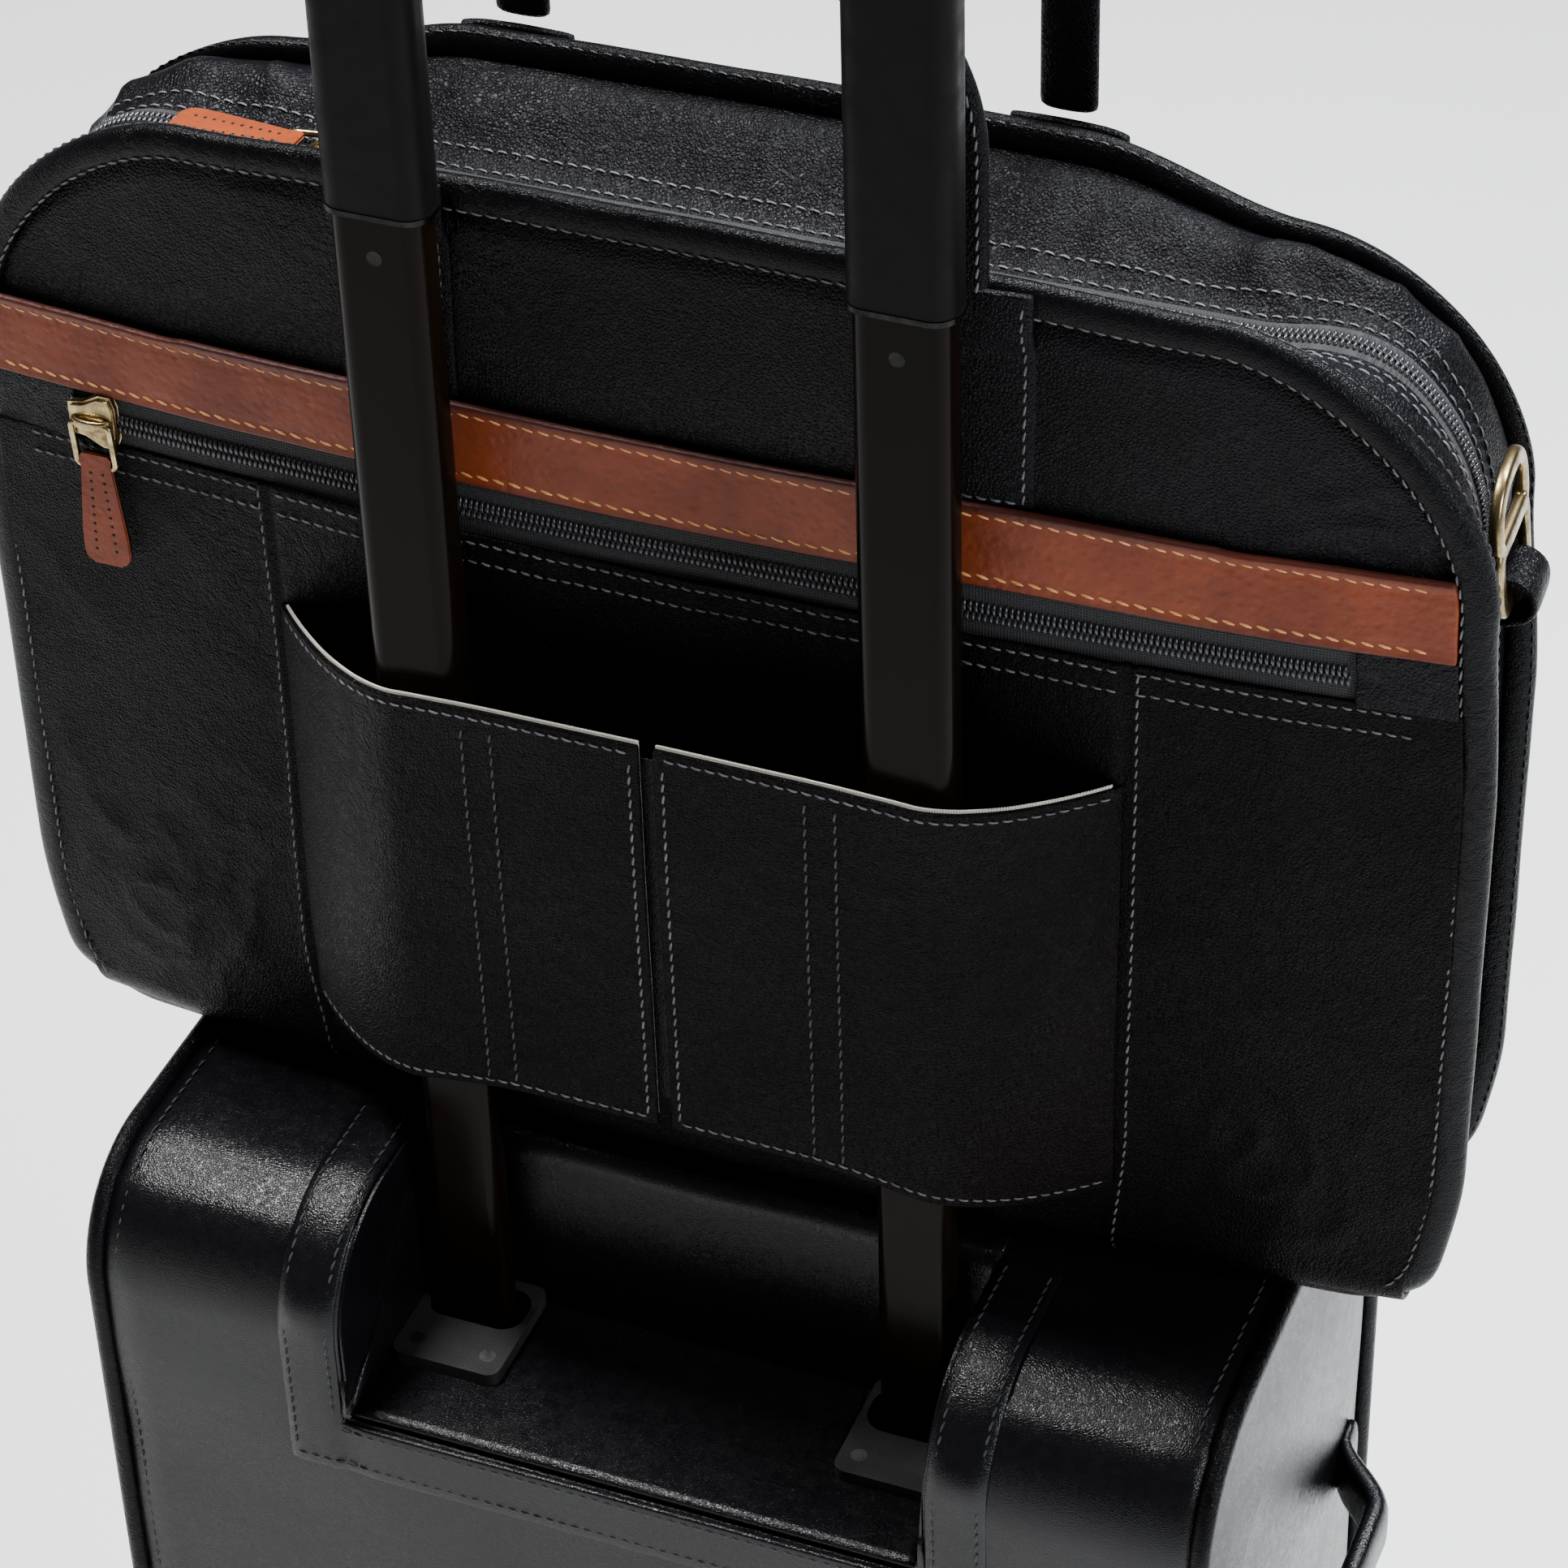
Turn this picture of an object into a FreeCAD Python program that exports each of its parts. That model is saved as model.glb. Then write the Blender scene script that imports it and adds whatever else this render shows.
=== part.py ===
import FreeCAD, Part
import os
import re
import Sketcher

# Rolling laptop case: a wheeled base case with a telescoping handle, and a laptop bag that slides
# over the handle by its trolley sleeve and rests on the case.
# Frame: millimetres, +Z up, +X across the width, -Y towards the handle side (the back).
# The origin is on the floor under the centre of the whole object.

DIMENSIONS = {
    # wheeled case: box, walls, rounded edges and the well cut into its top back edge
    "case_half": 182, "case_back": -98, "case_front": 91.6, "case_low": 22, "case_top": 372,
    "case_wall": 4, "end_wall": 5, "back_radius": 40, "edge_radius": 25, "piping_width": 6,
    "piping_inset": 7, "well_half": 95.5, "well_floor": 302, "well_front": -26, "well_wall": 3,
    "band_width": 20, "band_thick": 2.5, "fit_gap": 0.3,
    "collar_half": 18.2, "collar_back": -72, "collar_front": -30, "collar_thick": 5, "collar_edge": 4,
    "frame_half": 120, "frame_back": -70, "frame_front": -16, "frame_thick": 20,
    "divider_back": 20, "divider_thick": 6, "divider_half": 168, "divider_high": 290, "divider_edge": 12,
    "pocket_half": 150, "pocket_low": 60, "pocket_top": 281, "pocket_thick": 8, "pocket_edge": 14,
    "carry_half": 60, "carry_low": 228, "carry_high": 252, "carry_reach": 24, "carry_thick": 9,
    "carry_foot": 22, "carry_edge": 14, "screw_radius": 2.6, "head_thick": 1.5, "shank_radius": 1.4,
    "screw_back": -64, "screw_apart": 12,
    # wheels and feet
    "wheel_radius": 28, "wheel_half": 10, "wheel_gap": 3, "wheel_x": 146, "wheel_y": -72,
    "housing_wall": 4, "housing_low": 16, "housing_high": 63, "housing_back": -99,
    "housing_front": -37, "hub_radius": 20, "axle_radius": 4, "shaft_gap": 0.06,
    "foot_in": 118, "foot_out": 150, "foot_back": 58, "foot_front": 82, "foot_edge": 6, "tyre_edge": 3,
    # telescoping handle
    "tube_x": 74, "tube_y": -43, "upper_width": 30.6, "upper_depth": 16.6, "middle_width": 28,
    "middle_depth": 14, "lower_width": 24, "lower_depth": 10, "tube_wall": 1.1,
    "guide_width": 32.4, "guide_depth": 18.4, "guide_wall": 1.5, "tube_roundness": 0.4,
    "upper_low": 714, "upper_high": 943, "middle_low": 492, "middle_high": 734,
    "lower_low": 262, "lower_high": 522, "ferrule_height": 1.6, "ferrule_lip": 0.6,
    "pin_radius": 2.3, "pin_height": 700, "pin_length": 2, "pin_proud": 0.1,
    "grip_half": 90.5, "grip_low": 938, "grip_high": 966, "grip_depth": 19, "grip_edge": 8,
    "button_half": 19, "button_depth": 12, "button_low": 962, "button_high": 969, "button_edge": 4,
    "rod_radius": 2, "rod_low": 737, "link_half": 77, "link_low": 947, "link_high": 951,
    "link_depth": 4, "stem_half": 3, "slot_half": 84, "slot_low": 942, "slot_high": 955, "slot_depth": 6,
    # laptop bag: bound outline, skins, gusset and zips
    "bag_half": 230, "bag_low": 373, "bag_high": 710, "bag_back": -24, "bag_front": 60,
    "bag_top_radius": 78, "bag_low_radius": 26, "least_radius": 6,
    "skin": 4, "binding_width": 13, "binding_depth": 7, "binding_proud": 2, "seam_gap": 0.2,
    "gusset_inset": 14, "gusset_drop": 2, "gusset_wall": 4, "side_split": 617,
    "zip_back": 9, "zip_front": 23, "patch_thick": 3, "patch_half": 214,
    "stripe_low": 614.6, "stripe_high": 640.7, "zip_low": 598.5, "zip_high": 614,
    "zip_thick": 2.4, "patch_low": 388, "patch_high": 598, "patch_edge": 14, "pouch_half": 206,
    "front_pocket_high": 432, "front_pocket_thick": 6, "front_zip_high": 447,
    "front_strap_low": 560, "strap_foot": 641.2,
    "laptop_pad_back": 14, "laptop_pad_front": 20, "laptop_pad_half": 200, "laptop_pad_high": 620,
    "laptop_pad_edge": 15,
    # trolley sleeve
    "sleeve_low": 414, "sleeve_high": 558, "sleeve_half": 129, "sleeve_flat": 98,
    "sleeve_out": -60, "sleeve_wall": 3, "sleeve_hem": 4.2, "sleeve_bend": 1.35, "sleeve_gap": 2.2,
    "bridge_half": 20, "bridge_thick": 1.5,
    # grab handles and their straps
    "strap_x": 84, "strap_half": 18, "strap_thick": 3.3, "strap_step": 6, "strap_lap": 688,
    "strap_high": 708, "handle_low": 711, "handle_high": 812, "handle_half": 92,
    "handle_width": 18, "handle_back": -31.5, "handle_thick": 5, "arch_radius": 60,
    # side rings and their tabs
    "ring_x": 222.5, "ring_y": 16, "ring_thick": 4, "ring_half": 17, "ring_low": 618,
    "ring_high": 660, "ring_bar": 5, "ring_leg": 4, "ring_edge": 6, "ring_slot_edge": 3,
    "tab_half": 10.5, "loop_z": 620.5, "loop_outer": 6, "loop_inner": 3.6, "tab_low": 600,
    "tab_thick": 2.6,
    # zip sliders and their pulls
    "slider_half": 6.5, "slider_thick": 4.5, "slider_edge": 2.5, "pull_half": 4.3, "pull_thick": 1.8,
    "pull_length": 34, "pull_edge": 4, "rear_slider_x": -185, "front_slider_x": 190, "case_slider_x": -150,
    "case_zip_low": 317, "case_zip_high": 331, "case_zip_half": 165, "main_slider_x": -120,
}

X_AXIS, Y_AXIS, Z_AXIS = (1, 0, 0), (0, 1, 0), (0, 0, 1)
BEYOND = 20                # how far a cutting box runs past what it cuts

doc = FreeCAD.newDocument("rolling_laptop_case")
sheet = doc.addObject("Spreadsheet::Sheet", "dims")


def fill_sheet():
    """Write every driving dimension as a plain number, with its name as the alias."""
    for row, (name, value) in enumerate(DIMENSIONS.items(), 1):
        sheet.set(f"A{row}", name)
        sheet.set(f"B{row}", str(value))
        sheet.setAlias(f"B{row}", name)
    doc.recompute()


def named(expression):
    """Turn names such as case_half into references to the sheet's cells."""
    return re.sub(r"[a-z]\w+", lambda word: "dims." + word.group(0), str(expression))


def bind(thing, prop, expression):
    thing.setExpression(prop, named(expression))


def worth(expression):
    """The number that an expression has in this document."""
    return float(sheet.evalExpression(named(expression)))


# ---------------------------------------------------------------- shared ways to build a piece
def box(name, x, y, z):
    """A box between low and high expressions along X, Y and Z."""
    block = doc.addObject("Part::Box", name)
    for side, letter, (low, high) in zip(("Length", "Width", "Height"), "xyz", (x, y, z)):
        bind(block, side, f"({high}) - ({low})")
        bind(block, "Placement.Base." + letter, low)
    return block


def wide_box(name, half, y, z):
    """A box centred on X = 0."""
    return box(name, (f"-({half})", half), y, z)


def rod(name, radius, start, length, axis):
    """A cylinder that starts at a point and runs along an axis."""
    cylinder = doc.addObject("Part::Cylinder", name)
    cylinder.Placement.Rotation = FreeCAD.Rotation(FreeCAD.Vector(*Z_AXIS), FreeCAD.Vector(*axis))
    bind(cylinder, "Radius", radius)
    bind(cylinder, "Height", length)
    for letter, value in zip("xyz", start):
        bind(cylinder, "Placement.Base." + letter, value)
    return cylinder


def cut(name, base, *tools):
    for number, tool in enumerate(tools, 1):
        last = number == len(tools)
        result = doc.addObject("Part::Cut", name if last else f"{name}_cut{number}")
        result.Base, result.Tool = base, tool
        base = result
    return base


def fuse(name, *pieces):
    result = doc.addObject("Part::MultiFuse", name)
    result.Shapes, result.Refine = list(pieces), True
    return result


def common(name, first, second):
    result = doc.addObject("Part::Common", name)
    result.Base, result.Tool = first, second
    return result


def group(name, *pieces):
    """Separate solids that share one node."""
    result = doc.addObject("Part::Compound", name)
    result.Links = list(pieces)
    return result


def mirrored(name, source):
    """The same piece on the other side of the X = 0 plane."""
    result = doc.addObject("Part::Mirroring", name)
    result.Source, result.Normal = source, FreeCAD.Vector(*X_AXIS)
    return result


def pair(name, source):
    """A piece and its mirror image as two solids of one node."""
    return group(name, source, mirrored(name + "_mirror", source))


def rounded(name, base, axis, radius_at):
    """Fillet the straight edges along an axis. radius_at(edge centre) gives the radius, or 0."""
    doc.recompute()
    direction, edges = FreeCAD.Vector(*axis), []
    for number, edge in enumerate(base.Shape.Edges, 1):
        along = abs(edge.tangentAt(edge.FirstParameter).dot(direction)) > 0.999
        radius = radius_at(edge.CenterOfMass) if along else 0
        if radius:
            edges.append((number, radius, radius))
    result = doc.addObject("Part::Fillet", name)
    result.Base, result.Edges = base, edges
    return result


def rounded_all(name, base, axis, radius):
    return rounded(name, base, axis, lambda centre: radius)


def pad_outline(name, corners, low, length):
    """A body padded along +Z from low, with a straight-sided outline in the XY plane."""
    body = doc.addObject("PartDesign::Body", name)
    sketch = body.newObject("Sketcher::SketchObject", name + "_outline")
    plane = next(item for item in body.Origin.OriginFeatures if item.Role == "XY_Plane")
    sketch.AttachmentSupport, sketch.MapMode = (plane, [""]), "FlatFace"
    spots = [FreeCAD.Vector(worth(x), worth(y), 0) for x, y in corners]
    last = len(corners) - 1
    for turn, spot in enumerate(spots):
        sketch.addGeometry(Part.LineSegment(spot, spots[0 if turn == last else turn + 1]))
    for turn in range(len(corners)):
        follower = 0 if turn == last else turn + 1
        sketch.addConstraint(Sketcher.Constraint("Coincident", turn, 2, follower, 1))
    for turn, corner in enumerate(corners):
        for kind, value in zip(("DistanceX", "DistanceY"), corner):
            constraint = Sketcher.Constraint(kind, -1, 1, turn, 1, worth(value))
            number = sketch.addConstraint(constraint)
            sketch.renameConstraint(number, f"{kind}_{turn}")
            bind(sketch, f"Constraints.{kind}_{turn}", value)
    pad = body.newObject("PartDesign::Pad", name + "_pad")
    pad.Profile = sketch
    bind(pad, "Length", length)
    bind(body, "Placement.Base.z", low)
    return body


# ---------------------------------------------------------------- wheeled case
def case_block(name, half, inset):
    """The case's body across X, drawn in by inset on every side, with its rounded edges."""
    block = wide_box(name + "_block", half, (f"case_back + {inset}", f"case_front - ({inset})"),
                     (f"case_low + {inset}", f"case_top - ({inset})"))
    middle = worth("(case_low + case_top) / 2")
    back, edge = worth(f"back_radius - ({inset})"), worth(f"edge_radius - ({inset})")
    return rounded(name, block, X_AXIS, lambda centre: back if centre.z > middle and centre.y < 0 else edge)


def well_space(name, grow):
    return wide_box(name, f"well_half + {grow}", (f"case_back - {BEYOND}", f"well_front + {grow}"),
                    (f"well_floor - {grow}", f"case_top + {BEYOND}"))


def housing_block(name, grow):
    wall = f"wheel_half + wheel_gap + housing_wall + {grow}"
    return box(name, (f"wheel_x - ({wall})", f"wheel_x + ({wall})"),
               (f"housing_back - {grow}", f"housing_front + {grow}"),
               (f"housing_low - {grow}", f"housing_high + {grow}"))


def make_case_skins():
    outer = case_block("case_outer", "case_half - end_wall", 0)
    inner = case_block("case_inner", "case_half", "case_wall")
    housings = pair("housing_room", housing_block("housing_room_right", "fit_gap"))
    shell = cut("case_shell", outer, inner, well_space("well_room", "fit_gap"), housings)
    plate = case_block("end_plate", "case_half", "piping_inset")
    core = wide_box("end_core", "case_half - end_wall + fit_gap", (f"case_back - {BEYOND}", "case_front"),
                    ("case_low", "case_top"))
    right = box("end_right_side", (0, "case_half"), ("case_back", "case_front"), ("case_low", "case_top"))
    end_right = common("case_end_right", cut("end_plates", plate, core), right)
    end_left = mirrored("case_end_left", end_right)
    ring = cut("piping_ring", case_block("piping_outer", "case_half + 1", 0),
               case_block("piping_inner", "case_half + 2", "piping_width"))
    room = wide_box("piping_core", "case_half - end_wall + fit_gap",
                    (f"case_back - {BEYOND}", f"case_front + {BEYOND}"), (0, f"case_top + {BEYOND}"))
    piping = cut("case_piping", ring, room)
    return [shell, end_right, end_left, piping]


def make_well():
    """The tray in the case's top back edge, its raised band and the collars round the tubes."""
    wall = "well_wall"
    solid = common("tray_solid", case_block("tray_block", "well_half", 0),
                   wide_box("tray_bounds", "well_half", ("case_back", "well_front"),
                            ("well_floor", "case_top")))
    hollow = wide_box("tray_hollow", f"well_half - {wall}", (f"case_back - {BEYOND}", f"well_front - {wall}"),
                      (f"well_floor + {wall}", f"case_top + {BEYOND}"))
    hole = tube_block("tray_hole", "guide_width", "guide_depth", "case_low", "case_top")
    tray = cut("well_tray", solid, hollow, pair("tray_holes", hole))
    band_outer = common("band_outer", case_block("band_case", "well_half + band_width", "-band_thick"),
                        wide_box("band_bounds", "well_half + band_width",
                                 (f"case_back - {BEYOND}", "bag_back - binding_proud - 1"),
                                 ("well_floor - band_width", f"case_top + {BEYOND}")))
    band = cut("well_band", band_outer, case_block("band_core", "case_half", "-(fit_gap / 3)"),
               well_space("band_room", "fit_gap"))
    plate = box("collar_plate", ("tube_x - collar_half", "tube_x + collar_half"),
                ("collar_back", "collar_front"),
                ("well_floor + well_wall", "well_floor + well_wall + collar_thick"))
    plate = rounded_all("collar_rounded", plate, Z_AXIS, worth("collar_edge"))
    screws = [collar_screw(f"collar_screw_{side}", sign) for side, sign in (("in", "-"), ("out", "+"))]
    collar = cut("collar_right", plate,
                 tube_block("collar_hole", "guide_width", "guide_depth", "case_low", "case_top"), *screws)
    collars = pair("tube_collars", collar)
    heads = pair("collar_screws", group("collar_screws_right", *screws))
    return [tray, band, collars, heads]


def collar_screw(name, sign):
    """A flat-headed screw, sunk in the collar behind the tube."""
    spot = (f"tube_x {sign} screw_apart", "screw_back", "well_floor + well_wall")
    shank = rod(name + "_shank", "shank_radius", spot, "collar_thick", Z_AXIS)
    seat = "well_floor + well_wall + collar_thick - head_thick"
    head = rod(name + "_head", "screw_radius", (*spot[:2], seat), "head_thick", Z_AXIS)
    return fuse(name, shank, head)


def tube_block(name, width, depth, low, high):
    """A solid with the tubes' rounded section, on the right-hand tube's axis."""
    block = box(name + "_block", (f"tube_x - {width} / 2", f"tube_x + {width} / 2"),
                (f"tube_y - {depth} / 2", f"tube_y + {depth} / 2"), (low, high))
    return rounded_all(name, block, Z_AXIS, worth(f"{depth} * tube_roundness"))


def tube(name, width, depth, wall, low, high, *holes):
    """A hollow tube round the right-hand axis."""
    inside = tube_block(name + "_bore", f"({width} - 2 * {wall})", f"({depth} - 2 * {wall})",
                        f"{low} - 1", f"{high} + 1")
    return cut(name, tube_block(name + "_solid", width, depth, low, high), inside, *holes)


def make_case_inside():
    guides = pair("guide_tubes", tube("guide_right", "(guide_width + 2 * guide_wall)",
                                      "(guide_depth + 2 * guide_wall)", "guide_wall",
                                      "case_low + case_wall + frame_thick", "well_floor"))
    base = wide_box("base_frame", "frame_half", ("frame_back", "frame_front"),
                    ("case_low + case_wall", "case_low + case_wall + frame_thick"))
    divider = rounded_all("case_divider", wide_box("divider_block", "divider_half",
                          ("divider_back", "divider_back + divider_thick"),
                          ("case_low + case_wall", "divider_high")), Y_AXIS, worth("divider_edge"))
    return [guides, base, divider]


def make_case_outside():
    pocket = wide_box("pocket_block", "pocket_half", ("case_front", "case_front + pocket_thick"),
                      ("pocket_low", "pocket_top"))
    pocket = rounded_all("case_pocket", pocket, Y_AXIS, worth("pocket_edge"))
    tape = wide_box("case_zip", "case_zip_half", ("case_front", "case_front + zip_thick"),
                    ("case_zip_low", "case_zip_high"))
    bar = box("carry_block", ("case_half", "case_half + carry_reach"), ("-carry_half", "carry_half"),
              ("carry_low", "carry_high"))
    edge, root = worth("carry_edge"), worth("case_half")
    bar = rounded("carry_rounded", bar, Z_AXIS, lambda centre: edge if centre.x > root + 1 else 0)
    gap = box("carry_gap", ("case_half - 1", "case_half + carry_reach - carry_thick"),
              ("-carry_half + carry_foot", "carry_half - carry_foot"), ("carry_low - 1", "carry_high + 1"))
    return [pocket, tape, cut("side_handle", bar, gap)]


def make_wheels():
    room = box("wheel_room", ("wheel_x - wheel_half - wheel_gap", "wheel_x + wheel_half + wheel_gap"),
               (f"housing_back - {BEYOND}", "wheel_y + wheel_radius + wheel_gap"),
               (-BEYOND, "2 * wheel_radius + wheel_gap"))
    wall = "wheel_half + wheel_gap + housing_wall"
    axle = rod("axle_right", "axle_radius", (f"wheel_x - ({wall})", "wheel_y", "wheel_radius"),
               f"2 * ({wall})", X_AXIS)
    housing = cut("housing_right", housing_block("housing_solid", 0), room, axle)
    nodes = [pair("wheel_housings", housing), pair("axles", axle)]
    start = ("wheel_x - wheel_half", "wheel_y", "wheel_radius")
    core = rod("hub_core", "hub_radius", start, "2 * wheel_half", X_AXIS)
    bore = rod("hub_bore", "axle_radius + shaft_gap", start, "2 * wheel_half", X_AXIS)
    hub = cut("hub_right", core, bore)
    rim = rod("tyre_solid", "wheel_radius", start, "2 * wheel_half", X_AXIS)
    tyre_edges = doc.addObject("Part::Fillet", "tyre_rounded")
    doc.recompute()
    circles = [number for number, edge in enumerate(rim.Shape.Edges, 1) if edge.Closed and
               edge.Curve.TypeId == "Part::GeomCircle"]
    radius = worth("tyre_edge")
    tyre_edges.Base, tyre_edges.Edges = rim, [(number, radius, radius) for number in circles]
    seat = rod("tyre_seat", "hub_radius", start, "2 * wheel_half", X_AXIS)
    tyre = cut("tyre_right", tyre_edges, seat)
    nodes += [hub, mirrored("hub_left", hub), tyre, mirrored("tyre_left", tyre)]
    foot = rounded_all("foot_right", box("foot_block", ("foot_in", "foot_out"), ("foot_back", "foot_front"),
                       (0, "case_low")), Z_AXIS, worth("foot_edge"))
    return nodes + [pair("feet", foot)]


# ---------------------------------------------------------------- telescoping handle
def make_handle():
    stages = []
    pin = rod("pin_right", "pin_radius",
              ("tube_x", "tube_y - middle_depth / 2 - pin_proud", "pin_height"), "pin_length", Y_AXIS)
    for stage, holes in (("lower", ()), ("middle", (pin,)), ("upper", ())):
        one = tube(stage + "_right", stage + "_width", stage + "_depth", "tube_wall", stage + "_low",
                   stage + "_high", *holes)
        stages.append(pair(stage + "_tubes", one))
    ring = tube("ferrule_right", "(upper_width + ferrule_lip)", "(upper_depth + ferrule_lip)",
                "(tube_wall + ferrule_lip / 2)", "(upper_low - ferrule_height)", "upper_low")
    return stages + [pair("detent_pins", pin), pair("ferrules", ring)] + make_grip()


def centred_y(depth):
    return (f"tube_y - {depth} / 2", f"tube_y + {depth} / 2")


def make_grip():
    """The cross grip, the push button in its top and the rods that the button drives."""
    bar = rounded_all("grip_rounded", wide_box("grip_block", "grip_half", centred_y("grip_depth"),
                      ("grip_low", "grip_high")), X_AXIS, worth("grip_edge"))
    sockets = pair("grip_sockets", tube_block("grip_socket", "upper_width", "upper_depth", "upper_low",
                                              "upper_high"))
    slot = wide_box("grip_slot", "slot_half", centred_y("slot_depth"), ("slot_low", "slot_high"))
    button_room = wide_box("button_room", "button_half + fit_gap", centred_y("(button_depth + 2 * fit_gap)"),
                           ("slot_high - 1", f"grip_high + {BEYOND}"))
    grip = cut("grip", bar, sockets, slot, button_room)
    button = rounded_all("button", wide_box("button_block", "button_half", centred_y("button_depth"),
                         ("button_low", "button_high")), Z_AXIS, worth("button_edge"))
    link = wide_box("link_bar", "link_half", centred_y("link_depth"), ("link_low", "link_high"))
    stem = wide_box("link_stem", "stem_half", centred_y("link_depth"), ("link_low", "button_low"))
    thin = rod("push_rod_right", "rod_radius", ("tube_x", "tube_y", "rod_low"),
               "link_low - rod_low + link_depth / 4", Z_AXIS)
    rods = fuse("push_rods", link, stem, thin, mirrored("push_rod_left", thin))
    return [grip, button, rods]


# ---------------------------------------------------------------- laptop bag
def bag_outline(name, inset, drop, y):
    """The bag's outline in the XZ plane, drawn in by inset, its top lowered by drop."""
    block = wide_box(name + "_block", f"bag_half - {inset}", y,
                     (f"bag_low + {inset}", f"bag_high - {inset} - {drop}"))
    top = worth(f"bag_top_radius - {inset}")
    low = max(worth(f"bag_low_radius - {inset}"), worth("least_radius"))
    middle = worth("(bag_low + bag_high) / 2")
    return rounded(name, block, Y_AXIS, lambda centre: top if centre.z > middle else low)


def binding(name, y):
    outer = bag_outline(name + "_outer", 0, 0, y)
    inner = bag_outline(name + "_inner", "binding_width", 0, (f"({y[0]}) - 1", f"({y[1]}) + 1"))
    return cut(name, outer, inner)


def make_bag_faces():
    panel_inset = "(binding_width + seam_gap)"
    back = bag_outline("back_panel", panel_inset, 0, ("bag_back", "bag_back + skin"))
    front = bag_outline("front_panel", panel_inset, 0, ("bag_front - skin", "bag_front"))
    rear_edge = binding("binding_rear", ("bag_back - binding_proud",
                                         "bag_back - binding_proud + binding_depth"))
    front_edge = binding("binding_front", ("bag_front + binding_proud - binding_depth",
                                           "bag_front + binding_proud"))
    rear_y = ("bag_back - patch_thick", "bag_back - fit_gap / 3")
    pocket = wide_box("rear_pocket_block", "patch_half", rear_y, ("patch_low", "patch_high"))
    edge, mouth, pouch_mouth = worth("patch_edge"), worth("patch_high"), worth("front_pocket_high")
    pocket = rounded("rear_pocket", pocket, Y_AXIS, lambda centre: edge if centre.z < mouth - 1 else 0)
    stripe = wide_box("accent_stripe", "patch_half", rear_y, ("stripe_low", "stripe_high"))
    tape = wide_box("rear_zip", "patch_half", ("bag_back - zip_thick", "bag_back - fit_gap / 3"),
                    ("zip_low", "zip_high"))
    front_y = "bag_front + fit_gap / 3"
    pouch = wide_box("front_pocket_block", "pouch_half", (front_y, "bag_front + front_pocket_thick"),
                     ("patch_low", "front_pocket_high"))
    pouch = rounded("front_pocket", pouch, Y_AXIS, lambda centre: edge if centre.z < pouch_mouth - 1 else 0)
    pouch_zip = wide_box("front_pocket_zip", "pouch_half", (front_y, "bag_front + zip_thick"),
                         ("front_pocket_high + seam_gap", "front_zip_high"))
    return [back, front, rear_edge, front_edge, pocket, stripe, tape, pouch, pouch_zip]


def gusset_ring(name, y):
    outer = bag_outline(name + "_outer", "gusset_inset", "gusset_drop", y)
    inner = bag_outline(name + "_inner", "(gusset_inset + gusset_wall)", "gusset_drop",
                        (f"({y[0]}) - 1", f"({y[1]}) + 1"))
    return cut(name, outer, inner)


def make_gusset():
    """The side and bottom gusset, and above it two top bands with the main zip between them."""
    inner_y = ("bag_back + skin + seam_gap", "bag_front - skin - seam_gap")
    above = wide_box("above_split", f"bag_half + {BEYOND}", (f"bag_back - {BEYOND}", f"bag_front + {BEYOND}"),
                     ("side_split", "bag_high"))
    nodes = [cut("gusset", gusset_ring("gusset_ring", inner_y), above)]
    bands = (("top_band_rear", (inner_y[0], "zip_back - seam_gap")),
             ("main_zip", ("zip_back", "zip_front")),
             ("top_band_front", ("zip_front + seam_gap", inner_y[1])))
    for name, y in bands:
        room = wide_box(name + "_bounds", f"bag_half + {BEYOND}", y, ("side_split + seam_gap", "bag_high"))
        nodes.append(common(name, gusset_ring(name + "_ring", y), room))
    pad = wide_box("laptop_pad_block", "laptop_pad_half", ("laptop_pad_back", "laptop_pad_front"),
                   ("bag_low + gusset_inset + gusset_wall", "laptop_pad_high"))
    return nodes + [rounded_all("laptop_divider", pad, Y_AXIS, worth("laptop_pad_edge"))]


def make_sleeve():
    """Two flaps that stand off the back and leave a gap between them, over a bridge strip."""
    seat = "bag_back - patch_thick - seam_gap"
    inner = "sleeve_out + sleeve_wall"
    corners = [("sleeve_gap", "sleeve_out"), ("sleeve_flat", "sleeve_out"), ("sleeve_half", seat),
               ("sleeve_half - sleeve_hem", seat), ("sleeve_flat - sleeve_bend", inner),
               ("sleeve_gap", inner)]
    flap = pad_outline("sleeve_right", corners, "sleeve_low", "sleeve_high - sleeve_low")
    strip = wide_box("sleeve_bridge", "bridge_half",
                     (f"{inner} + seam_gap", f"{inner} + seam_gap + bridge_thick"),
                     ("sleeve_low", "sleeve_high"))
    return [flap, mirrored("sleeve_left", flap), strip]


def strap(name, face, away, low):
    """One handle strap: up the face of the bag, with a step out past the bound edge.
    face is the face's Y and away is -1 at the back or 1 at the front."""
    def reach(near, far):
        spots = sorted((worth(f"{face} + {away} * ({value})"), value) for value in (near, far))
        return tuple(f"{face} + {away} * ({value})" for _, value in spots)
    x = ("strap_x - strap_half", "strap_x + strap_half")
    flat = box(name + "_flat", x, reach("fit_gap / 3", "strap_thick"), (low, "bag_high - binding_width - 1"))
    step = box(name + "_step", x, reach("binding_proud + seam_gap", "strap_step"),
               ("strap_lap", "strap_high"))
    return fuse(name, flat, step)


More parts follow.
